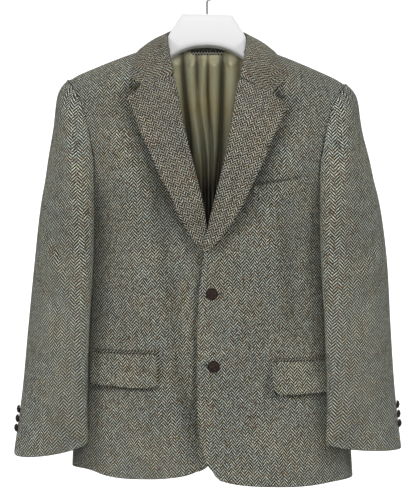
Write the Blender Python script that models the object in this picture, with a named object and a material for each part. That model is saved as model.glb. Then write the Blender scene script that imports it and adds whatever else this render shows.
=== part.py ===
"""Tweed hacking jacket on a hanger: one named object for each cut piece, in metres.

The front faces -Y, +X is the wearer's left, and the origin is inside the hook's top,
where a rail would carry it. Every panel is a thin wall on one hollow body form.
"""

import bpy
import bmesh
import numpy as np
from mathutils import Vector

CLOTH = 0.002           # thickness of the tweed
SEAM = 0.0003           # gap between neighbouring pieces
LAID = 0.0008           # gap under a piece that lies on a panel
LINING = 0.001          # thickness of the lining
LINING_GAP = 0.0020     # room between the cloth and its lining
SQUARENESS = 0.83       # exponent of the body's oval: 1 would be an ellipse
SHOULDER_ROLL = 0.045   # drop over which the shoulder rounds into the front or back
LEAN = 0.0155           # how far the shoulders tip down towards +X, metres per metre
SIDE_FRONT = 75         # degrees round the oval, 0 at the front and 180 at the back
SIDE_BACK = 105
TUCK = 0.0062           # how far the lower front lies inside the one that laps over it
POCKET_LENGTH = 40      # degrees round the oval that a flap covers
BUTTON_RADIUS = 0.010
CUFF_BUTTON_RADIUS = 0.0070
WIRE = 0.0018
HOOK_RADIUS = 0.022


def table(names, rows):
    """Columns of a table by name."""
    return dict(zip(names.split(), np.array(rows, dtype=float).T))


# The hollow form: half width, depth to the front and to the back, and sideways sway.
BODY = table("z half front back sway", [
    (-0.86, 0.236, 0.100, 0.096, 0.009),
    (-0.78, 0.231, 0.100, 0.096, 0.008),
    (-0.68, 0.219, 0.100, 0.096, 0.006),
    (-0.58, 0.209, 0.101, 0.096, 0.004),
    (-0.48, 0.203, 0.104, 0.098, 0.002),
    (-0.38, 0.205, 0.106, 0.104, 0.001),
    (-0.32, 0.214, 0.102, 0.104, 0.0),
    (-0.25, 0.238, 0.092, 0.098, 0.0),
    (-0.19, 0.270, 0.078, 0.084, 0.0),
    (-0.14, 0.285, 0.063, 0.066, 0.0),
    (-0.10, 0.295, 0.050, 0.054, 0.0)])
# Height of the shoulder ridge out from the neck.
RIDGE = table("x z", [
    (0.0, -0.1000), (0.030, -0.1040), (0.055, -0.1115), (0.072, -0.1185),
    (0.112, -0.1345), (0.144, -0.1465), (0.190, -0.1655), (0.2315, -0.1835), (0.260, -0.196)])
# Inner edge of each front: neck, roll line, front edge and cutaway.
FRONT_EDGE_LEFT = table("z x", [
    (-0.1196, 0.0720), (-0.1290, 0.0670), (-0.146, 0.0610), (-0.173, 0.0545), (-0.212, 0.0475),
    (-0.254, 0.0408), (-0.305, 0.0310), (-0.350, 0.0200), (-0.393, 0.0093), (-0.431, 0.0005),
    (-0.470, -0.0070), (-0.538, -0.0140), (-0.665, -0.0166), (-0.730, -0.0160),
    (-0.774, -0.0120), (-0.807, -0.0017), (-0.828, 0.0115), (-0.839, 0.0220)])
FRONT_EDGE_RIGHT = table("z x", [
    (-0.1174, -0.0720), (-0.1270, -0.0665), (-0.141, -0.0600), (-0.170, -0.0556),
    (-0.202, -0.0488), (-0.240, -0.0420), (-0.278, -0.0337), (-0.337, -0.0188),
    (-0.383, -0.0078), (-0.418, -0.0017), (-0.455, 0.0130), (-0.500, 0.0270),
    (-0.600, 0.0300), (-0.760, 0.0290), (-0.795, 0.0190), (-0.815, 0.0040), (-0.8245, -0.0130)])
# Rows of the panels: shares of a side seam, and drops below the shoulder at the neck.
SEAM_SHARES = np.array([0, 0.15, 0.30, 0.45, 0.59, 0.71, 0.81, 0.88, 0.935, 0.97, 1])
NECK_DROPS = (0.0, 0.0022, 0.0090, 0.0240, 0.0480, 0.0820, 0.1250, 0.1750, 0.2300)
# Front half of the armhole, shoulder to side seam.
ARMHOLE = table("x z", [
    (0.2315, -0.1835), (0.2300, -0.1855), (0.2260, -0.1905), (0.2175, -0.2020),
    (0.2085, -0.2170), (0.1985, -0.2500), (0.1905, -0.2880), (0.1868, -0.3280)])
ARMPIT = table("angle z", [(75, -0.362), (82, -0.377), (90, -0.384), (98, -0.377), (105, -0.362)])
# Lower edge along the front, by distance from the centre, then round the side.
HEM = table("x left right", [
    (0.010, -0.836, -0.8235), (0.033, -0.844, -0.8325), (0.062, -0.849, -0.837),
    (0.100, -0.8515, -0.8390), (0.150, -0.8525, -0.8380), (0.172, -0.8515, -0.8345),
    (0.192, -0.8495, -0.8285), (0.208, -0.8475, -0.8265), (0.260, -0.8450, -0.8280)])
# Turned-back edge of each lapel, from its tip to the bottom of the V.
LAPEL_LEFT = table("z x", [
    (-0.2231, 0.1303), (-0.254, 0.1160), (-0.286, 0.1010), (-0.324, 0.0855), (-0.350, 0.0725),
    (-0.383, 0.0570), (-0.418, 0.0375), (-0.446, 0.0160), (-0.4590, 0.0030)])
LAPEL_RIGHT = table("z x", [
    (-0.2105, -0.1315), (-0.237, -0.1180), (-0.271, -0.1050), (-0.2955, -0.0930),
    (-0.3325, -0.0775), (-0.365, -0.0600), (-0.411, -0.0405), (-0.444, -0.0210),
    (-0.4580, -0.0100)])
# Collar stations from the centre back (0) to the front end (1), for one half.
COLLAR = table("w fold_x fold_y fold_z edge_x edge_y edge_z stand_x stand_z", [
    (0.000, 0.0000, 0.0560, -0.0900, 0.0000, 0.0680, -0.1400, 0.0000, -0.1205),
    (0.140, 0.0360, 0.0480, -0.0915, 0.0500, 0.0660, -0.1405, 0.0300, -0.1200),
    (0.260, 0.0580, 0.0310, -0.0955, 0.0860, 0.0470, -0.1380, 0.0540, -0.1185),
    (0.360, 0.0680, 0.0100, -0.1010, 0.1060, 0.0200, -0.1310, 0.0695, -0.1170),
    (0.405, 0.0695, 0.0000, -0.1030, 0.1120, 0.0000, -0.1300, 0.0710, -0.1172),
    (0.450, 0.0695, -0.0110, -0.1055, 0.1160, -0.0200, -0.1330, 0.0710, -0.1190),
    (0.560, 0.0675, -0.0310, -0.1140, 0.1205, -0.0430, -0.1440, 0.0685, -0.1240),
    (0.700, 0.0630, -0.0540, -0.1310, 0.1235, -0.0570, -0.1560, 0.0630, -0.1370),
    (0.850, 0.0585, -0.0720, -0.1510, 0.1258, -0.0650, -0.1670, 0.0580, -0.1550),
    (1.000, 0.0550, -0.0800, -0.1720, 0.1275, -0.0700, -0.1790, 0.0540, -0.1740)])
COLLAR_SHARES = (0, 0.08, 0.16, 0.23, 0.29, 0.335, 0.37, 0.39, 0.405, 0.42, 0.44, 0.475, 0.53,
                 0.60, 0.68, 0.77, 0.88, 1)
NOTCH_LEFT = (0.1084, -0.2014)
NOTCH_RIGHT = (-0.1072, -0.1884)
NOTCH_SHARE = 0.72      # how far along the gorge the notch opens
# How far round from the centre back the lining reaches, in degrees.
LINING_REACH = table("z angle", [
    (-0.1290, 13), (-0.1365, 18), (-0.185, 32), (-0.250, 44), (-0.330, 52), (-0.410, 66), (-0.500, 72),
    (-0.815, 73)])
# Sleeve: outer and inner reach in x, half length and half thickness, twist and forward place.
SLEEVE = table("z outer_left outer_right inner long thick twist y", [
    (-0.185, 0.240, 0.238, 0.150, 0.056, 0.042, 8, 0.002),
    (-0.250, 0.258, 0.255, 0.172, 0.072, 0.041, 14, -0.003),
    (-0.330, 0.276, 0.268, 0.186, 0.080, 0.040, 20, -0.014),
    (-0.400, 0.2905, 0.279, 0.187, 0.079, 0.038, 27, -0.030),
    (-0.480, 0.3010, 0.288, 0.190, 0.078, 0.035, 33, -0.033),
    (-0.600, 0.3080, 0.300, 0.197, 0.076, 0.031, 39, -0.038),
    (-0.700, 0.3145, 0.309, 0.200, 0.073, 0.028, 46, -0.046),
    (-0.800, 0.3250, 0.322, 0.199, 0.069, 0.023, 60, -0.055)])
CUFF_LEFT = (-0.797, -0.779)    # cuff height at the outer and the inner edge
CUFF_RIGHT = (-0.808, -0.775)
SLEEVE_SEAM_FRONT = 10  # armhole samples, from the shoulder forwards, where its seams start
SLEEVE_SEAM_BACK = 15
SLEEVE_HEAD = (0.0085, 0.018)       # most the sleeve head swells outward, and how far down
SLEEVE_LENGTH = 0.60
SLEEVE_ROWS = (0.0, 0.035, 0.09, 0.16, 0.24, 0.33, 0.43, 0.54, 0.65, 0.76, 0.88, 1.0)
CUFF_BUTTONS_LEFT = (-0.7238, -0.7392, -0.7546)
CUFF_BUTTONS_RIGHT = (-0.7314, -0.7468, -0.7622)
# Hanger: top, underside and half thickness out from the middle.
HANGER = table("x top low half", [
    (0.0, -0.0694, -0.1217, 0.0110), (0.020, -0.0694, -0.1240, 0.0110),
    (0.0395, -0.0696, -0.1312, 0.0110), (0.0500, -0.0860, -0.1375, 0.0110),
    (0.0590, -0.1000, -0.1440, 0.0110), (0.0622, -0.1065, -0.1465, 0.0105),
    (0.0632, -0.1195, -0.1470, 0.0100), (0.0900, -0.1279, -0.1570, 0.0120),
    (0.1200, -0.1399, -0.1680, 0.0140), (0.1600, -0.1554, -0.1850, 0.0160),
    (0.2000, -0.1718, -0.2020, 0.0170), (0.2180, -0.1796, -0.2060, 0.0150),
    (0.2240, -0.1850, -0.2020, 0.0100)])
BUTTON = table("radius height", [(0.35, 0.0), (0.35, 0.10), (0.92, 0.12), (1.0, 0.26),
                                 (0.88, 0.46), (0.55, 0.60), (0.20, 0.64)])


def curve(rows, key, name, at):
    """A smooth curve through two columns: cubic, its slopes the mean of the chords beside."""
    order = np.argsort(rows[key])
    xs, ys = rows[key][order], rows[name][order]
    chords = np.diff(ys) / np.diff(xs)
    slopes = np.concatenate([chords[:1], (chords[:-1] + chords[1:]) / 2, chords[-1:]])
    at = np.clip(np.asarray(at, dtype=float), xs[0], xs[-1])
    i = np.clip(np.searchsorted(xs, at) - 1, 0, len(xs) - 2)
    span = xs[i + 1] - xs[i]
    s = (at - xs[i]) / span
    left = (1 + 2 * s) * (1 - s) ** 2 * ys[i] + s * (1 - s) ** 2 * span * slopes[i]
    right = s * s * (3 - 2 * s) * ys[i + 1] - s * s * (1 - s) * span * slopes[i + 1]
    return left + right


def blend(low, high, value):
    """0 below low, 1 above high, and a smooth step between."""
    s = np.clip((np.asarray(value) - low) / (high - low), 0, 1)
    return s * s * (3 - 2 * s)


def ridge(x):
    """Height of the shoulder ridge."""
    return curve(RIDGE, "x", "z", np.abs(x)) - LEAN * x


def form(angle, z):
    """A point of the hollow form: an oval at height z, rolled over at the shoulders."""
    t = np.radians(angle)
    half = curve(BODY, "z", "half", z)
    x = curve(BODY, "z", "sway", z) + half * np.sign(np.sin(t)) * np.abs(np.sin(t)) ** SQUARENESS
    share = np.clip((ridge(x) - z) / SHOULDER_ROLL, 0, 1)
    roll = np.sqrt(1 - (1 - share) ** 2)
    depth = np.where(np.cos(t) > 0, curve(BODY, "z", "front", z), curve(BODY, "z", "back", z))
    y = -np.sign(np.cos(t)) * depth * np.abs(np.cos(t)) ** SQUARENESS * roll
    return np.stack([x, y, z + 0 * x], axis=-1)


def angle_at(x, z, back=False):
    """The angle round the oval whose point at height z lies at x."""
    share = (x - curve(BODY, "z", "sway", z)) / curve(BODY, "z", "half", z)
    front = np.degrees(np.arcsin(np.sign(share) * np.clip(np.abs(share), 0, 1) ** (1 / SQUARENESS)))
    return 180 - front if back else front


def unit(v):
    return v / np.maximum(np.linalg.norm(v, axis=-1, keepdims=True), 1e-12)


def form_normal(angle, z):
    """Outward direction of the form; on the ridge it stays in the seam's plane."""
    step = 0.0004
    along = form(angle + 0.2, z) - form(angle - 0.2, z)
    point = form(angle, z)
    down = form(angle, z - step) - form(angle, z + step)
    normal = unit(np.cross(along, down))
    normal = np.where(np.sum(normal * (point - [0, 0, -9]), axis=-1, keepdims=True) < -9, -normal, normal)
    outward = point * [1, 1, 0]
    normal = np.where(np.sum(normal * outward, axis=-1, keepdims=True) < 0, -normal, normal)
    slope = (ridge(point[..., 0] + 0.002) - ridge(point[..., 0] - 0.002)) / 0.004
    upright = unit(np.stack([-slope, 0 * slope, 1 + 0 * slope], axis=-1))
    drop = (ridge(point[..., 0]) - point[..., 2])[..., None]
    return unit(np.where(drop < 0.0008, upright, normal))


def coons(top, bottom, left, right):
    """Fill four edges of (angle, z) samples with an even grid."""
    rows, cols = len(left), len(top)
    u = np.linspace(0, 1, cols)[None, :, None]
    v = np.linspace(0, 1, rows)[:, None, None]
    across = (1 - u) * left[:, None] + u * right[:, None]
    v_left = cumulative(left[:, 1])[:, None, None]
    v_right = cumulative(right[:, 1])[:, None, None]
    v = (1 - u) * v_left + u * v_right
    down = (1 - v) * top[None] + v * bottom[None]
    corners = (1 - v) * ((1 - u) * top[0] + u * top[-1]) + v * ((1 - u) * bottom[0] + u * bottom[-1])
    return across + down - corners


def cumulative(heights):
    """Each sample's share of the whole drop."""
    return (heights[0] - heights) / (heights[0] - heights[-1])


def material(name, colour, roughness, metallic=0.0):
    made = bpy.data.materials.get(name)
    if made is None:
        made = bpy.data.materials.new(name)
        made.use_nodes = True
        shader = made.node_tree.nodes["Principled BSDF"]
        shader.inputs["Base Color"].default_value = (*colour, 1)
        shader.inputs["Roughness"].default_value = roughness
        shader.inputs["Metallic"].default_value = metallic
    return made


def tweed():
    return material("tweed", (0.155, 0.145, 0.115), 0.9)


def add_object(name, mesh, finish):
    mesh.materials.append(finish)
    mesh.shade_smooth()
    mesh.set_sharp_from_angle(angle=0.7)
    made = bpy.data.objects.new(name, mesh)
    bpy.context.collection.objects.link(made)
    return made


def mesh_of(name, points, faces):
    """A closed mesh with its faces turned outwards."""
    mesh = bpy.data.meshes.new(name)
    mesh.from_pydata([tuple(p) for p in points], [], faces)
    work = bmesh.new()
    work.from_mesh(mesh)
    bmesh.ops.recalc_face_normals(work, faces=work.faces)
    work.to_mesh(mesh)
    work.free()
    return mesh


def pulled_back(grid, side_gap):
    """The grid with each border half a seam short, so that neighbours stay apart."""
    out = grid.copy()
    out[0] += unit(grid[1] - grid[0]) * SEAM / 2
    out[-1] += unit(grid[-2] - grid[-1]) * SEAM / 2
    out[:, 0] += unit(grid[:, 1] - grid[:, 0]) * side_gap / 2
    out[:, -1] += unit(grid[:, -2] - grid[:, -1]) * side_gap / 2
    return out


def wall(name, grid, normals, finish, out=0.0, thickness=CLOTH, side_gap=SEAM):
    """A closed wall on a grid of points: its inner face lies out from them by `out`."""
    out = np.broadcast_to(np.asarray(out, dtype=float), grid.shape[:2])[..., None]
    grid = pulled_back(grid, side_gap)
    inner = grid + normals * out
    outer = grid + normals * (out + thickness)
    rows, cols = grid.shape[:2]
    index = np.arange(rows * cols).reshape(rows, cols)
    a, b, c, d = [part.ravel() for part in
                  (index[:-1, :-1], index[:-1, 1:], index[1:, 1:], index[1:, :-1])]
    flat = grid.reshape(-1, 3)
    one, other = np.linalg.norm(flat[a] - flat[c], axis=1), np.linalg.norm(flat[b] - flat[d], axis=1)
    short = (one < other)[:, None]
    first = np.where(short, np.stack([a, b, c], axis=1), np.stack([a, b, d], axis=1))
    second = np.where(short, np.stack([a, c, d], axis=1), np.stack([b, c, d], axis=1))
    sheet = np.concatenate([first, second])
    back = sheet[:, ::-1] + rows * cols
    rim = np.concatenate([index[0, :-1], index[:-1, -1], index[-1, :0:-1], index[:0:-1, 0]])
    edge = np.stack([rim, rim + rows * cols, np.roll(rim, -1) + rows * cols, np.roll(rim, -1)], axis=-1)
    points = np.concatenate([outer.reshape(-1, 3), inner.reshape(-1, 3)])
    faces = sheet.tolist() + back.tolist() + edge.tolist()
    return add_object(name, mesh_of(name, points, faces), finish)


def grid_normals(grid):
    """Directions square to a grid, from its neighbouring points."""
    return unit(np.cross(np.gradient(grid, axis=1), np.gradient(grid, axis=0)))


def on_form(name, domain, finish=None, out=0.0, thickness=CLOTH):
    """A wall on the body form, from a grid of (angle, z)."""
    angle, z = domain[..., 0], domain[..., 1]
    return wall(name, form(angle, z), form_normal(angle, z), finish or tweed(), out, thickness)


def named(side):
    return "left" if side > 0 else "right"


def hem_height(side, angle):
    """Height of the lower edge at an angle round the oval."""
    x = np.abs(form(angle, -0.84 + 0 * np.asarray(angle))[..., 0])
    front = curve(HEM, "x", "left" if side > 0 else "right", x)
    back = -0.8395 - 0.006 * np.sin(np.radians(angle))
    return np.where(np.abs(angle) < 60, front,
                    front + (back - front) * blend(60, 150, np.abs(angle)))


def armhole(side):
    """Half loops of the armhole as (angle, z): front, under the arm and back."""
    x = ARMHOLE["x"] * side
    z = np.where(np.arange(len(x)) == 0, ridge(x), ARMHOLE["z"] - LEAN * x)
    front = np.stack([angle_at(x, z), z], axis=-1)
    back = np.stack([side * 180 - front[:, 0], z], axis=-1)
    under = np.stack([side * ARMPIT["angle"], ARMPIT["z"] - LEAN * 0.2 * side], axis=-1)
    return front, under, back


def side_seam(side, start, angle):
    """Samples of a side seam from the armhole to the hem."""
    end = np.array([side * angle, hem_height(side, side * angle)])
    return start + SEAM_SHARES[:, None] * (end - start)


def front_edge(side, z):
    rows = FRONT_EDGE_LEFT if side > 0 else FRONT_EDGE_RIGHT
    return curve(rows, "z", "x", z)


def front_domain(side):
    """The (angle, z) grid of a front."""
    loop, under, _ = armhole(side)
    right = np.concatenate([loop, side_seam(side, under[0], SIDE_FRONT)])
    rows = FRONT_EDGE_LEFT if side > 0 else FRONT_EDGE_RIGHT
    start, end = rows["z"].max(), rows["z"].min()
    upper = start - np.array(NECK_DROPS)
    lower = upper[-1] + SEAM_SHARES[1:] * (end - upper[-1])
    z = np.concatenate([upper, lower])
    x = front_edge(side, z)
    z[0] = ridge(x[0])
    left = np.stack([angle_at(x, z), z], axis=-1)
    share = np.linspace(0, 1, 9)
    x_top = x[0] + share * (side * ARMHOLE["x"][0] - x[0])
    top = np.stack([angle_at(x_top, ridge(x_top)), ridge(x_top)], axis=-1)
    angles = left[-1, 0] + share * (right[-1, 0] - left[-1, 0])
    bottom = np.stack([angles, hem_height(side, angles)], axis=-1)
    bottom[0] = left[-1]
    return coons(top, bottom, left, right)


def tuck(points):
    """How far the right front lies inward: all of TUCK where the left front covers it."""
    near = blend(-0.085, -0.022, points[..., 0])
    low = 1 - blend(-0.425, -0.365, points[..., 2])
    return -TUCK * near * low


def make_fronts():
    for side in (1, -1):
        domain = front_domain(side)
        points = form(domain[..., 0], domain[..., 1])
        out = tuck(points) if side < 0 else 0.0
        on_form("front_" + named(side), domain, out=out)


def make_sides():
    for side in (1, -1):
        _, under, _ = armhole(side)
        left = side_seam(side, under[0], SIDE_FRONT)
        right = side_seam(side, under[-1], SIDE_BACK)
        angles = side * ARMPIT["angle"]
        bottom = np.stack([angles, hem_height(side, angles)], axis=-1)
        on_form("side_" + named(side), coons(under, bottom, left, right))


def make_backs():
    for side in (1, -1):
        _, under, loop = armhole(side)
        right = np.concatenate([loop, side_seam(side, under[-1], SIDE_BACK)])
        neck_x = side * np.array([0.0, 0.024, 0.046, 0.062])
        neck_z = ridge(neck_x) - np.array([0.0215, 0.0190, 0.0125, 0.0045])
        neck = np.stack([angle_at(neck_x, neck_z, True), neck_z], axis=-1)
        start = front_edge(side, (FRONT_EDGE_LEFT if side > 0 else FRONT_EDGE_RIGHT)["z"].max())
        x = start + np.linspace(0, 1, 9) * (side * ARMHOLE["x"][0] - start)
        shoulder = np.stack([angle_at(x, ridge(x), True), ridge(x)], axis=-1)
        top = np.concatenate([neck, shoulder])
        top[:, 0] = np.where(top[:, 0] > 180.001, top[:, 0] - 360, top[:, 0])
        top[0, 0] = side * 180
        z = top[0, 1] + cumulative(right[:, 1]) * (hem_height(side, side * 180.0) - top[0, 1])
        left = np.stack([side * 180 + 0 * z, z], axis=-1)
        angles = side * np.linspace(180, SIDE_BACK, len(top))
        bottom = np.stack([angles, hem_height(side, angles)], axis=-1)
        on_form("back_" + named(side), coons(top, bottom, left, right))


def make_lapels():
    for side, rows, notch in ((1, LAPEL_LEFT, NOTCH_LEFT), (-1, LAPEL_RIGHT, NOTCH_RIGHT)):
        share = np.linspace(0, 1, 12)
        start_z = -0.1752 - side * 0.0025
        roll_z = start_z + share * (rows["z"].min() - start_z)
        edge_z = rows["z"].max() + share * (rows["z"].min() - rows["z"].max())
        roll_x = front_edge(side, np.maximum(roll_z, -0.470)) if side > 0 else np.minimum(
            front_edge(side, roll_z), -0.0017)
        roll_x = roll_x + side * 0.0006
        edge_x = curve(rows, "z", "x", edge_z)
        u = np.array([0, 0.16, 0.36, 0.55, NOTCH_SHARE, 0.86, 1.0])
        x = roll_x[:, None] + (edge_x - roll_x)[:, None] * u
        z = roll_z[:, None] + (edge_z - roll_z)[:, None] * u
        corner = np.stack([np.interp(u, [0, NOTCH_SHARE, 1], [roll_x[0], notch[0], edge_x[0]]),
                           np.interp(u, [0, NOTCH_SHARE, 1], [roll_z[0], notch[1], edge_z[0]])])
        fade = (1 - blend(0, 0.35, share))[:, None]
        x = x + (corner[0] - x[0]) * fade
        z = z + (corner[1] - z[0]) * fade - 0.0004
        domain = np.stack([angle_at(x, z), z], axis=-1)
        crown = 0.006 * np.sin(np.pi * u)[None, :] + 0.004 * u[None, :] ** 2
        taper = (1 - 0.8 * share ** 3)[:, None]
        out = CLOTH + LAID + crown * taper
        if side < 0:
            out = out + tuck(form(domain[..., 0], domain[..., 1]))
        on_form("lapel_" + named(side), domain, out=out)


def clear_of_form(points, gap):
    """Points moved out of the form, to at least `gap` from it: up or out, whichever is less."""
    x, y, z = points[..., 0], points[..., 1], points[..., 2]
    reach = np.where(y > 0, curve(BODY, "z", "back", z), curve(BODY, "z", "front", z)) + gap
    reach = reach * np.abs(np.cos(np.radians(angle_at(x, z)))) ** SQUARENESS
    roll = SHOULDER_ROLL + gap
    share = np.clip((ridge(x) + gap - z) / roll, 0, 1)
    depth = reach * np.sqrt(1 - (1 - share) ** 2)
    height = ridge(x) + gap - roll * (1 - np.sqrt(1 - np.clip(np.abs(y) / reach, 0, 1) ** 2))
    inside = (share > 0) & (np.abs(y) < depth)
    lift = inside & (height - z < depth - np.abs(y))
    moved = points.copy()
    moved[..., 2] = np.where(lift, height, z)
    moved[..., 1] = np.where(inside & ~lift, np.where(y > 0, depth, -depth), y)
    return moved


def collar_stations(shares):
    """Both halves of the collar table, right end to left end."""
    w = np.concatenate([-shares[:0:-1], shares])
    side = np.where(w < 0, -1.0, 1.0)
    take = {name: curve(COLLAR, "w", name, np.abs(w)) for name in COLLAR}
    lean = -LEAN * side * take["edge_x"] - 0.0015 * side * blend(0.6, 1, np.abs(w))
    fold = np.stack([side * take["fold_x"], take["fold_y"], take["fold_z"] + lean * 0.6], axis=-1)
    return w, side, take, lean, fold


def make_collar():
    w, side, take, lean, fold = collar_stations(np.array(COLLAR_SHARES))
    edge = np.stack([side * take["edge_x"], take["edge_y"], take["edge_z"] + lean], axis=-1)
    edge = clear_of_form(edge, 2 * CLOTH + 2 * LAID)
    u = np.array([0, 0.08, 0.22, 0.40, 0.58, NOTCH_SHARE, 0.87, 1.0])
    fall = fold[:, None] + (edge - fold)[:, None] * u[None, :, None]
    notch = np.where((side > 0)[:, None], [NOTCH_LEFT], [(-NOTCH_RIGHT[0], NOTCH_RIGHT[1])])
    gorge = np.interp(u, [0, NOTCH_SHARE, 1], [0, 1, 0])[None]
    straight = fall[:, 5].copy()
    end = blend(0.62, 1.0, np.abs(w))[:, None]
    fall[..., 2] += gorge * end * (notch[:, 1] + 0.0008 - straight[:, 2])[:, None]
    fall[..., 0] += gorge * end * (side * notch[:, 0] - straight[:, 0])[:, None]
    crown = 0.0035 * np.sin(np.pi * u)[None]
    fall[..., 2] += crown * (1 - end)
    fall = clear_of_form(fall, 2 * CLOTH + 2 * LAID + crown + 0 * fall[..., 0])
    wall("collar", fall, -grid_normals(fall), tweed(), out=-CLOTH)


def make_stand():
    shares = np.array(COLLAR_SHARES)
    w, side, take, lean, fold = collar_stations(shares[shares < 0.70])
    low_z = take["stand_z"] + lean * 0.6
    low = np.stack([side * (take["stand_x"] - 0.0012), take["fold_y"], low_z], axis=-1)
    low = clear_of_form(low, CLOTH + LAID)
    top = fold + unit(low - fold) * 0.0036 - unit(fold * [1, 1, 0]) * 0.0022
    share = np.array([0, 0.5, 1])[None, :, None]
    sheet = top[:, None] + (low - top)[:, None] * share
    wall("collar_stand", sheet, -grid_normals(sheet), tweed(), out=-0.75 * CLOTH, thickness=0.75 * CLOTH)


def make_pockets():
    for side, front_x, top, height in ((1, 0.105, -0.6435, 0.054), (-1, -0.0795, -0.6305, 0.055)):
        start = angle_at(front_x, top)
        angles = start + side * np.linspace(0, POCKET_LENGTH, 9)
        u = np.linspace(0, 1, 9)
        low = top - height + 0.009 * (1 - blend(0, 0.10, u))
        v = np.linspace(0, 1, 5)[:, None]
        z = top + v * (low - top)[None]
        domain = np.stack([np.broadcast_to(angles, z.shape), z], axis=-1)
        out = CLOTH + LAID + 0.0018 * v + 0 * z
        on_form("flap_" + named(side), domain, out=out, thickness=CLOTH)
        jet_z = top + np.array([0.0062, 0.0003])[:, None] + 0 * angles[None]
        jet = np.stack([np.broadcast_to(angles, jet_z.shape), jet_z], axis=-1)
        on_form("jet_" + named(side), jet, out=CLOTH + LAID, thickness=0.0015)


def make_welt():
    """A slanted welt; its front end runs under the lapel's edge."""
    u = np.linspace(0, 1, 6)
    x = 0.078 + u * 0.083
    top = -0.3535 + u * 0.0145
    v = np.array([0, 0.5, 1.0])[:, None]
    z = top[None] - 0.022 * v
    domain = np.stack([angle_at(x[None] + 0 * z, z), z], axis=-1)
    on_form("welt_breast", domain, out=CLOTH + LAID, thickness=0.0012)


def make_lining():
    """The back lining, from under the neck to above the hem, inside the armholes."""
    z = np.concatenate([[-0.1290], np.linspace(-0.1375, -0.330, 5), np.linspace(-0.410, -0.815, 6)])
    reach = curve(LINING_REACH, "z", "angle", z)
    u = np.linspace(1, -1, 12)
    domain = np.stack([180 - reach[:, None] * u[None], z[:, None] + 0 * u[None]], axis=-1)
    finish = material("lining", (0.20, 0.19, 0.10), 0.45)
    on_form("lining_back", domain, finish, out=-LINING - LINING_GAP, thickness=LINING)
    tape = np.stack(np.meshgrid(np.linspace(176.6, 183.4, 6), [-0.1273, -0.1345]), axis=-1)
    dark = material("dark_tape", (0.012, 0.012, 0.014), 0.8)
    on_form("neck_tape", tape, dark, out=-2 * LINING - LINING_GAP - 3 * SEAM, thickness=LINING)


def sleeve_ring(side, spin, z):
    """The sleeve's flat oval at height z; spin runs from its back edge over the top."""
    outer = curve(SLEEVE, "z", "outer_left" if side > 0 else "outer_right", z)
    inner = curve(SLEEVE, "z", "inner", z)
    long, thick = curve(SLEEVE, "z", "long", z), curve(SLEEVE, "z", "thick", z)
    twist = np.radians(curve(SLEEVE, "z", "twist", z))
    reach = np.sqrt((long * np.sin(twist)) ** 2 + (thick * np.cos(twist)) ** 2)
    middle = outer - reach
    narrow = np.clip((outer - inner) / 2 / reach, 0.8, 1.3)
    a, b = np.cos(np.radians(spin)) * long, np.sin(np.radians(spin)) * thick
    x = middle + (1 - narrow) * reach + (a * np.sin(twist) + b * np.cos(twist)) * narrow
    y = curve(SLEEVE, "z", "y", z) + a * np.cos(twist) - b * np.sin(twist)
    return np.stack([side * x, y, z + 0 * x], axis=-1)


def clear_of_body(points, side, gap):
    """Points pushed sideways out of the body's oval."""
    z = np.minimum(points[..., 2], -0.30)
    y = points[..., 1]
    depth = np.where(y < 0, curve(BODY, "z", "front", z), curve(BODY, "z", "back", z)) + gap
    share = np.clip(np.abs(y) / depth, 0, 1) ** (1 / SQUARENESS)
    half = curve(BODY, "z", "half", z) + gap
    wide = half * np.sqrt(1 - share ** 2) ** SQUARENESS + side * curve(BODY, "z", "sway", z)
    moved = points.copy()
    need = np.maximum(side * points[..., 0], wide)
    moved[..., 0] = side * np.where(points[..., 2] < -0.36, need, side * points[..., 0])
    return moved


def armhole_loop(side):
    """Points, outward directions and spins of the whole armhole, from the shoulder forwards."""
    front, under, back = armhole(side)
    domain = np.concatenate([front, under, back[::-1]])
    points = form(domain[:, 0], domain[:, 1])
    normals = form_normal(domain[:, 0], domain[:, 1])
    lengths = np.linalg.norm(np.diff(points, axis=0), axis=-1)
    travelled = np.concatenate([[0], np.cumsum(lengths)])
    spin = 90 + 360 * travelled / travelled[-1]
    return points, normals, spin


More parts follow.
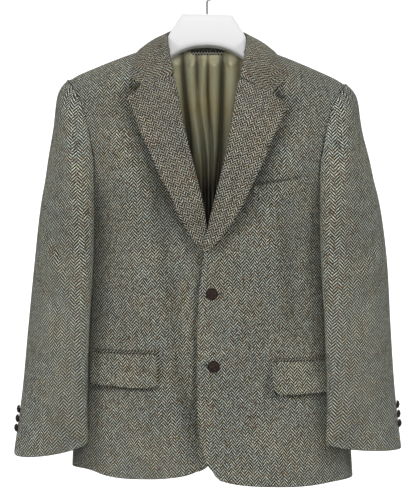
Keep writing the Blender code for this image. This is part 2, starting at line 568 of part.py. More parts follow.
def make_sleeves():
    for side, cuff in ((1, CUFF_LEFT), (-1, CUFF_RIGHT)):
        loop, outward, spin = armhole_loop(side)
        rows = np.array(SLEEVE_ROWS)[:, None]
        lateral = (1 + np.cos(np.radians(spin - 45))) / 2
        cuff_z = cuff[1] + (cuff[0] - cuff[1]) * lateral
        z = loop[None, :, 2] + rows * (cuff_z - loop[:, 2])[None]
        spins = np.broadcast_to(spin, z.shape)
        free = sleeve_ring(side, spins, z)
        radial = unit(free[2] - free[2].mean(axis=0))
        facing = np.sum(radial * outward, axis=1)[:, None]
        butt = blend(-0.2, 0.4, facing)
        lift = 1 - blend(0.55, 0.95, facing)
        loop = loop + outward * lift * (CLOTH + 3 * SEAM + CLOTH * np.clip(0.6 - facing, 0, 1))
        start = loop - sleeve_ring(side, spin, loop[:, 2])
        hold = (1 - blend(0, 0.30, rows))[..., None]
        points = free + start[None] * hold
        points[..., 2] = z
        fall = rows * SLEEVE_LENGTH / SLEEVE_HEAD[1]
        swell = SLEEVE_HEAD[0] * fall * np.exp(1 - fall) * np.clip(np.sin(np.radians(spin)), 0, 1)
        points[..., 0] += side * swell
        tube = clear_of_body(points, side, CLOTH + 0.007)
        tube[0] = loop
        normals = grid_normals(np.concatenate([tube[:, -2:-1], tube, tube[:, 1:2]], axis=1))[:, 1:-1]
        flip = np.sum(normals * (tube - tube.mean(axis=1, keepdims=True))) < 0
        normals = -normals if flip else normals
        keep = (1 - blend(0, 0.09, rows))[..., None] * butt[None]
        normals = unit(normals * (1 - keep) + outward[None] * keep)
        behind = np.arange(SLEEVE_SEAM_BACK, len(spin) - 1)
        before = np.arange(0, SLEEVE_SEAM_FRONT + 1)
        over = np.concatenate([behind, before])
        under = np.arange(SLEEVE_SEAM_FRONT, SLEEVE_SEAM_BACK + 1)
        for name, part in (("sleeve_top_", over), ("sleeve_under_", under)):
            wall(name + named(side), tube[:, part], normals[:, part], tweed(), side_gap=3 * SEAM)


def turned(name, centre, axis, radius, rows, sides, finish):
    """A turned solid: the profile's radius and height, along an axis from its centre."""
    axis = Vector(axis).normalized()
    across = axis.orthogonal().normalized()
    beside = axis.cross(across)
    points = []
    for share, height in zip(rows["radius"], rows["height"]):
        for k in range(sides):
            a = 2 * np.pi * k / sides
            points.append(Vector(centre) + axis * height * radius
                          + (across * np.cos(a) + beside * np.sin(a)) * share * radius)
    faces = [list(range(sides))]
    for row in range(len(rows["radius"]) - 1):
        for k in range(sides):
            a, b = row * sides + k, row * sides + (k + 1) % sides
            faces.append([a, b, b + sides, a + sides])
    faces.append([(len(rows["radius"]) - 1) * sides + k for k in range(sides)])
    return add_object(name, mesh_of(name, points, faces), finish)


def make_buttons():
    leather = material("button_leather", (0.045, 0.022, 0.014), 0.35)
    for name, x, z in (("top", 0.0078, -0.530), ("low", 0.0108, -0.650)):
        angle = angle_at(x, z)
        normal = form_normal(np.array([angle]), np.array([z]))[0]
        seat = form(np.array([angle]), np.array([z]))[0] + normal * (CLOTH + SEAM)
        turned("button_front_" + name, seat, normal, BUTTON_RADIUS, BUTTON, 16, leather)
    for side, heights in ((1, CUFF_BUTTONS_LEFT), (-1, CUFF_BUTTONS_RIGHT)):
        for number, z in enumerate(heights, 1):
            spin = 22.0
            here = sleeve_ring(side, spin, np.array(z))
            beside = sleeve_ring(side, spin + 2, np.array(z)) - sleeve_ring(side, spin - 2, np.array(z))
            normal = unit(np.cross(beside, [0, 0, 1.0]))
            centre = sleeve_ring(side, 90, np.array(z)) * 0.5 + sleeve_ring(side, 270, np.array(z)) * 0.5
            normal = normal if np.dot(normal, here - centre) > 0 else -normal
            seat = here + normal * (CLOTH + SEAM)
            name = "button_cuff_%s_%d" % (named(side), number)
            turned(name, seat, normal, CUFF_BUTTON_RADIUS, BUTTON, 12, leather)


def make_hanger():
    """Sections along x, each a rectangle with rounded corners, lofted into one solid."""
    white = material("hanger_white", (0.80, 0.80, 0.80), 0.35)
    x = np.concatenate([-HANGER["x"][:0:-1], HANGER["x"]])
    corner = np.radians(np.array([0, 30, 60, 90, 120, 150, 180, 210, 240, 270, 300, 330]))
    sections = []
    for at in x:
        i = list(HANGER["x"]).index(abs(at))
        shift = -LEAN * at
        top, low, half = (HANGER[name][i] for name in ("top", "low", "half"))
        radius = min(0.005, half * 0.6)
        y = np.sign(np.round(np.cos(corner), 6)) * (half - radius) + radius * np.cos(corner)
        z = (top + low) / 2 + shift + np.sign(np.round(np.sin(corner), 6)) * (
            (top - low) / 2 - radius) + radius * np.sin(corner)
        sections.append(np.stack([at + 0 * y, y, z], axis=-1))
    points = np.concatenate(sections)
    sides = len(corner)
    faces = [list(range(sides)), [(len(x) - 1) * sides + k for k in range(sides)]]
    for row in range(len(x) - 1):
        for k in range(sides):
            a, b = row * sides + k, row * sides + (k + 1) % sides
            faces.append([a, b, b + sides, a + sides])
    add_object("hanger", mesh_of("hanger", points, faces), white)


def make_hook():
    """A stem, a short bend, and three quarters of a circle with its inside top at the origin."""
    steel = material("hook_steel", (0.30, 0.30, 0.31), 0.3, 1.0)
    centre = -HOOK_RADIUS
    line = HOOK_RADIUS + WIRE
    stem_top = centre - line - 0.004
    points = [(0, 0, z) for z in np.linspace(-0.0691, stem_top, 3)]
    turn = np.radians(np.linspace(-65, 200, 22))
    points += [(line * np.cos(a), 0, centre + line * np.sin(a)) for a in turn]
    path = bpy.data.curves.new("hook", "CURVE")
    path.dimensions = "3D"
    path.bevel_depth = WIRE
    path.bevel_resolution = 2
    path.use_fill_caps = True
    spline = path.splines.new("POLY")
    spline.points.add(len(points) - 1)
    for point, place in zip(spline.points, points):
        point.co = (*place, 1)
    path.materials.append(steel)
    made = bpy.data.objects.new("hook", path)
    bpy.context.collection.objects.link(made)


def main():
    for old in list(bpy.data.objects):
        bpy.data.objects.remove(old, do_unlink=True)
    make_fronts()
    make_sides()
    make_backs()
    make_lapels()
    make_collar()
    make_stand()
    make_pockets()
    make_welt()
    make_lining()
    make_sleeves()
    make_buttons()
    make_hanger()
    make_hook()


main()
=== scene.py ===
# %% [markdown]
# # A tweed hacking jacket on a white hanger
# The measured model is already made: thirty-one solids that say where every panel, button and the
# hanger are. This file keeps those places and makes the looks: fine cloth with its creases, a
# herringbone weave, a satin lining, leather buttons and a smooth hanger. Each cell makes one thing.

import bpy
import numpy as np
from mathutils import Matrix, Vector


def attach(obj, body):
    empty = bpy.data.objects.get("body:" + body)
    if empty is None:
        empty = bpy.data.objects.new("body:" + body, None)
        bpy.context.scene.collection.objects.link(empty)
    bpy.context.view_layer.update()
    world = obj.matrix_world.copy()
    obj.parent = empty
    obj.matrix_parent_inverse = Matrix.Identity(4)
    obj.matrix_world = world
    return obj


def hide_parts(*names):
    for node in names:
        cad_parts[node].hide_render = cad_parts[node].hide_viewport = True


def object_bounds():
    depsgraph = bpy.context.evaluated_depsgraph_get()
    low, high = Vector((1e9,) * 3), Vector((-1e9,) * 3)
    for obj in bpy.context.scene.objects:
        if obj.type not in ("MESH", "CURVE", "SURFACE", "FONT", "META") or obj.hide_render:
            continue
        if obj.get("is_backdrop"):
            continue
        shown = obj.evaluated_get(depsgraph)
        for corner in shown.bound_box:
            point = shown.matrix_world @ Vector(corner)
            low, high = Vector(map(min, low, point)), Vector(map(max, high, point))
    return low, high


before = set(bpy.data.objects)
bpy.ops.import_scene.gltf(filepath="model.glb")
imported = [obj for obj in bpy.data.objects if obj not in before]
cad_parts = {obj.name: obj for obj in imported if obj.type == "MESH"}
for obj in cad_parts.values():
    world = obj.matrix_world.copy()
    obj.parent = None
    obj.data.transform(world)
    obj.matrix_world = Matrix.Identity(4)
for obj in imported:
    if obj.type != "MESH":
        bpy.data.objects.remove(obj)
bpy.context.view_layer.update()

# %% [markdown]
# ## The body the panels are cut for
# A jacket panel has no shape of its own: it takes the shape of the chest and shoulders it is pressed
# for. So one hollow form serves all the panels: an oval at every height, rolled over at the shoulders.
# It could be sculpted, but a formula lets each panel, pocket and crease find its place on the same
# surface. A point is named by its angle round the oval (0 front, 90 the wearer's left, 180 back)
# and its height z.

# %% Sizes in metres
CLOTH = 0.0020          # thickness of the tweed
SEAM = 0.0003           # gap between neighbouring pieces
LAID = 0.0008           # gap under a piece that lies on a panel
LINING = 0.0010         # thickness of the satin
LINING_GAP = 0.0020     # from the back panels to the satin
SQUARENESS = 0.83       # power of the oval; an ellipse has 1
SHOULDER_ROLL = 0.045   # the form rounds off over this height below the shoulder line
LEAN = 0.0155           # fall of the shoulder line towards the wearer's left, in metres a metre
SIDE_FRONT, SIDE_BACK = 75, 105     # angles of the two side seams
TUCK = 0.0062           # how far the covered front lies inward
STEP = 0.0034           # distance between the points of a cloth grid


def table(names, rows):
    """Columns of a table by name."""
    return dict(zip(names.split(), np.array(rows, dtype=float).T))


# half the width, the depth in front and behind, and the shift to the left, at each height
BODY = table("z half front back sway", [
    (-0.86, 0.236, 0.100, 0.096, 0.009), (-0.78, 0.231, 0.100, 0.096, 0.008),
    (-0.68, 0.219, 0.100, 0.096, 0.006), (-0.58, 0.209, 0.101, 0.096, 0.004),
    (-0.48, 0.203, 0.104, 0.098, 0.002), (-0.38, 0.205, 0.106, 0.104, 0.001),
    (-0.32, 0.214, 0.102, 0.104, 0.0), (-0.25, 0.238, 0.092, 0.098, 0.0),
    (-0.19, 0.270, 0.078, 0.084, 0.0), (-0.14, 0.285, 0.063, 0.066, 0.0),
    (-0.10, 0.295, 0.050, 0.054, 0.0)])
# the shoulder line before it leans
RIDGE = table("x z", [
    (0.0, -0.1000), (0.030, -0.1040), (0.055, -0.1115), (0.072, -0.1185),
    (0.112, -0.1345), (0.144, -0.1465), (0.190, -0.1655), (0.2315, -0.1835), (0.260, -0.196)])


# %% The form itself
def curve(rows, key, name, at):
    """A smooth curve through two columns: cubic, its slopes the mean of the chords beside."""
    order = np.argsort(rows[key])
    xs, ys = rows[key][order], rows[name][order]
    chords = np.diff(ys) / np.diff(xs)
    slopes = np.concatenate([chords[:1], (chords[:-1] + chords[1:]) / 2, chords[-1:]])
    at = np.clip(np.asarray(at, dtype=float), xs[0], xs[-1])
    i = np.clip(np.searchsorted(xs, at) - 1, 0, len(xs) - 2)
    span = xs[i + 1] - xs[i]
    s = (at - xs[i]) / span
    left = (1 + 2 * s) * (1 - s) ** 2 * ys[i] + s * (1 - s) ** 2 * span * slopes[i]
    right = s * s * (3 - 2 * s) * ys[i + 1] - s * s * (1 - s) * span * slopes[i + 1]
    return left + right


def blend(low, high, value):
    """0 below low, 1 above high, and a smooth step between."""
    s = np.clip((np.asarray(value) - low) / (high - low), 0, 1)
    return s * s * (3 - 2 * s)


def quarter(share):
    """Rise of a quarter circle, sqrt(1 - (1 - share)^2): 0 at share 0, and 1 from share 1 on."""
    return np.sqrt(1 - (1 - np.clip(share, 0, 1)) ** 2)


def unit(v):
    """Vectors at length one."""
    return v / np.maximum(np.linalg.norm(v, axis=-1, keepdims=True), 1e-12)


def ridge(x):
    """Height of the shoulder line at x."""
    return curve(RIDGE, "x", "z", np.abs(x)) - LEAN * x


def form(angle, z):
    """A point of the form: an oval raised to a power, its depth rolled over near the shoulder line."""
    t = np.radians(angle)
    half = curve(BODY, "z", "half", z)
    x = curve(BODY, "z", "sway", z) + half * np.sign(np.sin(t)) * np.abs(np.sin(t)) ** SQUARENESS
    roll = quarter((ridge(x) - z) / SHOULDER_ROLL)
    depth = np.where(np.cos(t) > 0, curve(BODY, "z", "front", z), curve(BODY, "z", "back", z))
    y = -np.sign(np.cos(t)) * depth * np.abs(np.cos(t)) ** SQUARENESS * roll
    return np.stack([x, y, z + 0 * x], axis=-1)


def form_at(domain):
    """Points of the form for a line or a grid of (angle, z)."""
    return form(domain[..., 0], domain[..., 1])


def angle_at(x, z, back=False):
    """The angle round the oval whose point at height z lies at x."""
    share = (x - curve(BODY, "z", "sway", z)) / curve(BODY, "z", "half", z)
    front = np.degrees(np.arcsin(np.sign(share) * np.clip(np.abs(share), 0, 1) ** (1 / SQUARENESS)))
    return 180 - front if back else front


# %% [markdown]
# ## Measuring the cloth on the form
# The weave must run straight down the cloth, not with the grid of points, so every point is given its
# place on the flat cloth in metres: how far round the form it is, and how far up. Both are lengths
# along the surface, summed once into two tables and read back for any point. They become the UV map.

# %% Lengths round and up the form
CHART_ANGLES = np.linspace(-180, 180, 721)
CHART_HEIGHTS = np.linspace(-0.87, -0.095, 776)
FRONT_MIDDLE, CHEST_ROW = 360, 486      # the column at angle 0 and the row at chest height


def steps_along(points, axis):
    """Length walked along an axis of a line or a grid, from its first point."""
    lengths = np.linalg.norm(np.diff(points, axis=axis), axis=-1)
    start = np.zeros_like(np.take(lengths, [0], axis=axis))
    return np.concatenate([start, np.cumsum(lengths, axis=axis)], axis=axis)


chart = form(CHART_ANGLES[None, :], CHART_HEIGHTS[:, None] + 0 * CHART_ANGLES[None, :])
around = steps_along(chart, 1)
around -= around[:, FRONT_MIDDLE:FRONT_MIDDLE + 1]
upward = steps_along(chart, 0)
print("girth at the chest", round(float(around[CHEST_ROW, -1] - around[CHEST_ROW, 0]), 3), "m")


def sample_number(marks, at):
    """Where a value lies among evenly spaced marks, as a fractional number."""
    return np.clip((at - marks[0]) / (marks[1] - marks[0]), 0, len(marks) - 1.001)


def read_chart(values, angle, z):
    """The chart's value between its four nearest samples."""
    a, h = sample_number(CHART_ANGLES, angle), sample_number(CHART_HEIGHTS, z)
    i, j = h.astype(int), a.astype(int)
    u, v = a - j, h - i
    return ((1 - v) * ((1 - u) * values[i, j] + u * values[i, j + 1])
            + v * ((1 - u) * values[i + 1, j] + u * values[i + 1, j + 1]))


def cloth_place(domain):
    """(round, up) in metres on the flat cloth for a grid of (angle, z)."""
    angle = (domain[..., 0] + 180) % 360 - 180
    angle = np.where(np.abs(domain[..., 0] - 180) < 1e-6, 180, angle)
    return np.stack([read_chart(values, angle, domain[..., 1]) for values in (around, upward)], axis=-1)


def own_place(points):
    """(round, up) in metres, walked along the rows and columns of a piece's own grid."""
    return np.stack([steps_along(points, 1), steps_along(points, 0)], axis=-1)


# %% [markdown]
# ## A sheet of cloth as a mesh
# Real tweed is about 2 mm thick, and its cut edges are turned in, so they look round. A Solidify
# modifier would give square edges. Here each sheet is a grid of points with a layer on each side, and
# the layers close like a quarter circle near the border, which also makes each seam a soft groove.

# %% The cloth maker
# painted shade darkens each seam's groove within this distance of the border
SEAM_SHADE = 0.0018     # the dark of a seam, from the border
RIM = np.array([0.0, 0.00035, 0.0009, 0.0018, 0.0032])   # distances of the first points from a border
ROUND = 0.0016          # how far in from a border the cloth reaches its full thickness
THINNEST = 0.22         # a border's thickness, as a share of the full one


def spread(total, step=STEP):
    """Distances from 0 to total: close together at both ends and even between."""
    inner = np.linspace(RIM[-1], total - RIM[-1], max(3, int((total - 2 * RIM[-1]) / step)))
    return np.concatenate([RIM[:-1], inner, total - RIM[-2::-1]])


def across(points):
    """Directions square to a grid, from its neighbouring points."""
    return unit(np.cross(np.gradient(points, axis=1), np.gradient(points, axis=0)))


def outward(points):
    """Directions square to a grid, away from the middle of the body."""
    facing = across(points)
    return facing * np.sign(np.sum(facing[..., :2] * points[..., :2]))


def from_border(points):
    """Distance of every grid point from the nearest border."""
    down, along = steps_along(points, 0), steps_along(points, 1)
    return np.minimum(np.minimum(down, down[-1:] - down), np.minimum(along, along[:, -1:] - along))


def new_piece(name, points, faces, finish, edge=None):
    """A smooth mesh in the scene; edge gives each point a number that the finish reads."""
    mesh = bpy.data.meshes.new(name)
    mesh.from_pydata(points, [], faces)
    mesh.shade_smooth()
    mesh.materials.append(finish)
    if edge is not None:
        mesh.attributes.new("edge", "FLOAT", "POINT").data.foreach_set("value", edge.astype(np.float32))
    made = bpy.data.objects.new(name, mesh)
    bpy.context.collection.objects.link(made)
    return made


def stand_for(made, slot, *nodes):
    """A piece rides on the one body and takes the place of nodes; slot is not used."""
    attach(made, "root")
    if nodes:
        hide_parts(*nodes)


def closed_mesh(name, outer, inner, place, edge, finish):
    """Two layers of a grid joined round their borders, with the flat cloth as their UV map."""
    rows, cols = outer.shape[:2]
    layer = rows * cols
    index = np.arange(layer).reshape(rows, cols)
    cells = index[:-1, :-1], index[:-1, 1:], index[1:, 1:], index[1:, :-1]
    sheet = np.stack([corner.ravel() for corner in cells], axis=-1)
    rim = np.concatenate([index[0, :-1], index[:-1, -1], index[-1, :0:-1], index[:, 0][::-1]])
    rim = np.stack([rim[:-1], rim[:-1] + layer, rim[1:] + layer, rim[1:]], axis=-1)
    faces = np.concatenate([sheet, sheet[:, ::-1] + layer, rim])
    points = np.concatenate([outer.reshape(-1, 3), inner.reshape(-1, 3)])
    a, b, c, d = sheet[len(sheet) // 2]
    facing = np.cross(points[c] - points[a], points[d] - points[b])
    if np.dot(facing, points[a] - points[a + layer]) < 0:
        faces = faces[:, ::-1]
    made = new_piece(name, points, faces, finish, np.concatenate([edge.ravel()] * 2))
    corners = np.zeros(len(made.data.loops), dtype=np.int32)
    made.data.loops.foreach_get("vertex_index", corners)
    both = np.concatenate([place.reshape(-1, 2)] * 2)
    flat = made.data.uv_layers.new(name="Cloth")
    flat.data.foreach_set("uv", both[corners].ravel().astype(np.float32))
    return made


def cloth(name, base, place, lift, finish, slot="tweed", thickness=CLOTH, normals=None,
          round_off=ROUND, shade=0.0):
    """A piece of cloth: middle = base + normals * lift, a layer half the thickness to each side.

    The half thickness follows a quarter circle of the distance from the border over round_off.
    shade, from 0 to 1, is painted shade: it darkens the colour where little light gets in.
    """
    normals = outward(base) if normals is None else normals
    middle = base + normals * (np.zeros(base.shape[:2]) + lift)[..., None]
    edge = from_border(middle)
    half = thickness / 2 * np.clip(quarter(edge / round_off), THINNEST, 1)[..., None]
    facing = across(middle)
    facing = facing * np.sign(np.sum(facing * normals))
    # painted shade: 1 inside the piece, less within SEAM_SHADE of a border and where shade is set
    light = np.minimum(edge / SEAM_SHADE, 1) * (1 - np.clip(shade + 0 * edge, 0, 1))
    made = closed_mesh(name + "_cloth", middle + facing * half, middle - facing * half, place, light, finish)
    stand_for(made, slot, name)


# %% [markdown]
# ## Soft creases
# Cloth that hangs from a hanger falls into troughs and ridges that are never alike. Each is a short
# path over the panel with its own depth and width: a bell-shaped dent or swelling that fades towards
# both ends of its path. A cloth simulation would move the whole panel, and these can be placed.

# %% Creases
def crease(flat, path, depth, width, fade=0.8):
    """Height of one crease over flat points (..., 2).

    depth * exp(-(distance / width)^2) * sin(pi * t)^fade, with t the share of the path walked.
    """
    path = np.array(path, dtype=float)
    lengths = np.linalg.norm(np.diff(path, axis=0), axis=1)
    walked = np.concatenate([[0], np.cumsum(lengths)])
    best = np.full(flat.shape[:-1], 9.0)
    along = np.zeros(flat.shape[:-1])
    for start, end, length, before in zip(path[:-1], path[1:], lengths, walked):
        toward = (end - start) / length
        t = np.clip((flat - start) @ toward, 0, length)
        gap = np.linalg.norm(flat - start - t[..., None] * toward, axis=-1)
        nearer = gap < best
        best = np.where(nearer, gap, best)
        along = np.where(nearer, before + t, along)
    bell = np.exp(-(best / width) ** 2)
    return depth * bell * np.sin(np.pi * np.clip(along / walked[-1], 0.02, 0.98)) ** fade


def creases(flat, rows, fade=0.8):
    """The sum of all creases of a piece; rows hold (depth mm, width mm, path in mm)."""
    total = np.zeros(flat.shape[:-1])
    for depth, width, path in rows:
        total = total + crease(flat, np.array(path) / 1000, depth / 1000, width / 1000, fade)
    return total


def calm(points):
    """0 on a piece's border and 1 from 30 mm inside it: creases die out towards the seams."""
    return blend(0.0, 0.03, from_border(points))


# %% [markdown]
# ## The tweed
# This tweed is a two-over-two twill: a light thread passes over two dark ones and under the next
# two, one step further in each row, so slanting ribs appear. Every six threads the slant turns
# round, which makes the herringbone; on the lapels and the collar it turns every four. The material
# counts threads both ways from the UV map, decides which thread lies on top, and gives each thread
# its own flecks. The alternative, a picture of the cloth, would blur close up and repeat.

# %% Shader maths as Python expressions
def operation(kind):
    """The method of Value that adds a Math node of this kind."""
    return lambda value, *others: value.math(kind, *others)


class Value:
    """A number in a material, made of a socket; operators add Math nodes."""

    def __init__(self, shader, socket):
        self.shader, self.socket = shader, socket

    def math(self, kind, *others, clamp=False):
        return self.shader.node("Math", {"operation": kind, "use_clamp": clamp}, [self, *others])

    __add__ = __radd__ = operation("ADD")
    __mul__ = __rmul__ = operation("MULTIPLY")
    __sub__, __truediv__ = operation("SUBTRACT"), operation("DIVIDE")
    __mod__, __lt__ = operation("FLOORED_MODULO"), operation("LESS_THAN")
    floor, fraction, size = operation("FLOOR"), operation("FRACT"), operation("ABSOLUTE")

    def __rsub__(self, other):
        return (self * -1) + other

    def clamped(self):
        """The value kept from 0 to 1."""
        return self.math("ADD", 0.0, clamp=True)


class Shader:
    """A material's nodes: node(type, settings, socket values) gives the first output."""

    def __init__(self, name):
        self.material = bpy.data.materials.new(name)
        self.material.use_nodes = True
        self.tree = self.material.node_tree
        self.surface = self.tree.nodes["Principled BSDF"]

    def put(self, socket, value):
        if isinstance(value, Value):
            self.tree.links.new(value.socket, socket)
        elif isinstance(value, (tuple, list)):
            socket.default_value = tuple(value) + ((1.0,) if len(socket.default_value) > len(value) else ())
        else:
            socket.default_value = value

    def node(self, kind, settings=None, sockets=None, output=0):
        made = self.tree.nodes.new("ShaderNode" + kind)
        for key, value in (settings or {}).items():
            if key == "stops":
                for stop, (place, colour) in zip(self.ramp_stops(made, len(value)), value):
                    stop.position, stop.color = place, (*colour, 1)
            else:
                setattr(made, key, value)
        pairs = sockets.items() if isinstance(sockets, dict) else enumerate(sockets or [])
        for key, value in pairs:
            self.put(made.inputs[key], value)
        return Value(self, made.outputs[output])

    @staticmethod
    def ramp_stops(made, count):
        stops = made.color_ramp.elements
        while len(stops) < count:
            stops.new(0.5)
        return stops

    def cloth_map(self):
        """The place on the flat cloth, in metres."""
        return self.node("UVMap", {"uv_map": "Cloth"})

    def in_space(self):
        """The place in the jacket's own space, in metres."""
        return self.node("TexCoord", output=3)

    def edge(self):
        """The number that each point of the mesh carries."""
        return self.node("Attribute", {"attribute_name": "edge"}, output=2)

    def noise(self, place, scale, detail, flat=True):
        """Soft noise over a place, in the plane of the cloth or in space."""
        settings = {"noise_dimensions": "2D"} if flat else {}
        return self.node("TexNoise", settings, {"Vector": place, "Scale": scale, "Detail": detail})

    def chance(self, x, y):
        """A number from 0 to 1 that is different for each pair of whole numbers."""
        return self.node("TexWhiteNoise", {"noise_dimensions": "2D"}, {"Vector": self.pair(x, y)})

    def bump(self, height, strength, distance):
        """Normals bent as by a relief of this height."""
        return self.node("Bump", sockets={"Height": height, "Strength": strength, "Distance": distance})

    def colour(self, factor, first, second):
        """A colour between two colours."""
        made = self.tree.nodes.new("ShaderNodeMix")
        made.data_type = "RGBA"
        self.put(made.inputs["Factor"], factor)
        self.put(made.inputs[6], first)
        self.put(made.inputs[7], second)
        return Value(self, made.outputs[2])

    def times(self, colour, factor):
        """A colour made lighter or darker by a number."""
        return self.node("VectorMath", {"operation": "SCALE"}, {0: colour, "Scale": factor})

    def filtered(self, colour, filter_colour):
        """A colour, or a place, multiplied part by part."""
        return self.node("VectorMath", {"operation": "MULTIPLY"}, [colour, filter_colour])

    def pair(self, x, y):
        return self.node("CombineXYZ", sockets={"X": x, "Y": y})

    def parts(self, vector):
        """x, y and z of a place."""
        split = self.node("SeparateXYZ", sockets={0: vector})
        return [Value(self, part) for part in split.socket.node.outputs]

    def finish(self, **values):
        for key, value in values.items():
            self.put(self.surface.inputs[key.replace("_", " ")], value)
        return self.material


# %% The herringbone
THREAD_ACROSS, THREAD_UP = 0.00118, 0.00140     # widths of the upright and the crossing threads
TURN = 6                # threads before the slant turns round
SHORT_TURN = 4          # the same on the lapels and the collar
OFF_ZERO = 5000.0       # added to every thread's number, so that none is negative
LIGHT_THREAD = (0.304, 0.316, 0.270)
# painted light: the sleeves are the body's cloth, their light thread made brighter for the light they catch
SLEEVE_LIT_THREAD = (0.335, 0.352, 0.302)
DARK_THREAD = (0.0035, 0.0042, 0.0036)


def shades(colour, *factors):
    """A colour made lighter or darker by each factor."""
    return [tuple(part * factor for part in colour) for factor in factors]


def tweed(name, turn_degrees=0.0, light=LIGHT_THREAD, dark=DARK_THREAD, seam=0.42, threads=TURN):
    """Herringbone with its columns turned by some degrees on the cloth.

    With i the thread across and j the thread up, the light thread is on top where the rib
    (j + s i) mod 4 is 0 or 1, and the sign s changes every `threads` threads. Painted shade darkens
    the colour near a piece's border and where cloth lies close over it; seam is how much of the colour
    it leaves at its darkest.
    """
    s = Shader(name)
    place = s.node("VectorRotate", {"rotation_type": "Z_AXIS"},
                   {"Vector": s.cloth_map(), "Angle": np.radians(turn_degrees)})
    wander = s.noise(place, 30.0, 1.0)
    slub = s.noise(place, 420.0, 1.0)
    x, y, _ = s.parts(place)
    x = (x + (wander - 0.5) * 0.0016 + (slub - 0.5) * 0.0004) / THREAD_ACROSS + OFF_ZERO
    y = (y + (wander - 0.5) * 0.0012 + (slub - 0.5) * 0.0004) / THREAD_UP + OFF_ZERO
    i, j = x.floor(), y.floor()
    column = (i / threads).floor()
    odd = column % 2.0
    inside = i - column * threads
    slope = odd * (threads - 1.0 - inside) + (1.0 - odd) * inside
    rib = (j + slope + odd * 2.0) % 4.0
    up = rib < 1.5
    faded, bright = shades(light, 0.70, 1.25)
    lit_dark, = shades(dark, 2.6)
    warp = s.node("ValToRGB", {"stops": [
        (0.0, light), (0.25, faded), (0.50, bright), (0.78, light), (0.86, (0.24, 0.20, 0.10)),
        (0.91, (0.17, 0.095, 0.060)), (0.95, (0.13, 0.17, 0.15)), (1.0, light)]},
        {0: s.chance(i, (y / 4.0 + i * 0.37).floor())})
    weft = s.node("ValToRGB", {"stops": [
        (0.0, dark), (0.40, lit_dark), (0.66, dark), (0.80, (0.040, 0.022, 0.014)),
        (0.86, (0.014, 0.030, 0.030)), (0.92, (0.036, 0.033, 0.015)), (1.0, dark)]},
        {0: s.chance((x / 4.0 + j * 0.61).floor(), j)})
    # the light thread is brighter over its first crossing and darker over its second: painted shade where it
    # dips under, which also narrows the light ribs
    top = s.colour(up, weft, s.times(warp, 2.35 - rib * 2.05))
    top = s.times(top, s.chance(i, j) * 0.70 + 0.65)
    # painted shade: down to seam in the seam grooves and where cloth lies close over cloth
    painted_shade = seam + (1.0 - seam) * s.edge()
    top = s.times(top, (s.noise(place, 9.0, 3.0) * 0.40 + 0.80) * painted_shade)
    region = ((s.noise(place, 17.0, 2.0) - 0.5) * 3.5 + 0.5).clamped()
    top = s.filtered(top, s.colour(region, (0.975, 0.995, 1.02), (1.02, 1.00, 0.965)))
    across_x, across_y = (x.fraction() - 0.5) * 2.0, (y.fraction() - 0.5) * 2.0
    round_thread = up * (1.0 - across_x * across_x) + (1.0 - up) * (0.7 - across_y * across_y)
    height = round_thread * 0.6 + s.noise(place, 900.0, 2.0) * 0.9
    return s.finish(Base_Color=top, Roughness=0.92, Normal=s.bump(height, 0.60, 0.00040),
                    Sheen_Weight=0.04, Sheen_Roughness=0.45, Sheen_Tint=(0.80, 0.78, 0.70),
                    Specular_IOR_Level=0.10)


straight_tweed = tweed("tweed_body")
# painted light: the same tweed with the brighter light thread, for the sleeves
lit_sleeve_tweed = tweed("tweed_sleeve_lit", light=SLEEVE_LIT_THREAD)
print("herringbone columns %.1f mm wide, ribs every %.1f mm"
      % (TURN * THREAD_ACROSS * 1000, 4000 * THREAD_UP))

# %% [markdown]
# ## The fronts
# A front is cut from the neck point along the shoulder, round the armhole, down the side seam, along
# the hem and up the curved front edge to the roll line of the lapel. The grid takes those four edges
# and fills between them (a Coons patch), so the borders are exact. The left front laps over the right.

# %% Edges shared by the panels
FRONT_EDGES = {1: table("z x", [
    (-0.1196, 0.0720), (-0.1290, 0.0670), (-0.146, 0.0610), (-0.173, 0.0545), (-0.212, 0.0475),
    (-0.254, 0.0408), (-0.305, 0.0310), (-0.350, 0.0200), (-0.393, 0.0093), (-0.431, 0.0005),
    (-0.470, -0.0070), (-0.538, -0.0140), (-0.665, -0.0166), (-0.730, -0.0160),
    (-0.774, -0.0120), (-0.807, -0.0017), (-0.828, 0.0115), (-0.839, 0.0220)]),
    -1: table("z x", [
    (-0.1174, -0.0720), (-0.1270, -0.0665), (-0.141, -0.0600), (-0.170, -0.0556),
    (-0.202, -0.0488), (-0.240, -0.0420), (-0.278, -0.0337), (-0.337, -0.0188),
    (-0.383, -0.0078), (-0.418, -0.0017), (-0.455, 0.0130), (-0.500, 0.0270),
    (-0.600, 0.0300), (-0.760, 0.0290), (-0.795, 0.0190), (-0.815, 0.0040), (-0.8245, -0.0130)])}
SEAM_SHARES = np.array([0, 0.15, 0.30, 0.45, 0.59, 0.71, 0.81, 0.88, 0.935, 0.97, 1])
NECK_DROPS = (0.0, 0.0022, 0.0090, 0.0240, 0.0480, 0.0820, 0.1250, 0.1750, 0.2300)
ARMHOLE = table("x z", [
    (0.2315, -0.1835), (0.2300, -0.1855), (0.2260, -0.1905), (0.2175, -0.2020),
    (0.2085, -0.2170), (0.1985, -0.2500), (0.1905, -0.2880), (0.1868, -0.3280)])
ARMPIT = table("angle z", [(75, -0.362), (82, -0.377), (90, -0.384), (98, -0.377), (105, -0.362)])
ARMPIT_LEAN = 0.2 * LEAN        # the armpit lies 0.2 m to the side
HEM = table("x left right", [
    (0.010, -0.836, -0.8235), (0.033, -0.844, -0.8325), (0.062, -0.849, -0.837),
    (0.100, -0.8515, -0.8390), (0.150, -0.8525, -0.8380), (0.172, -0.8515, -0.8345),
    (0.192, -0.8495, -0.8285), (0.208, -0.8475, -0.8265), (0.260, -0.8450, -0.8280)])


def named(side):
    """The wearer's side: +X is the left."""
    return "left" if side > 0 else "right"


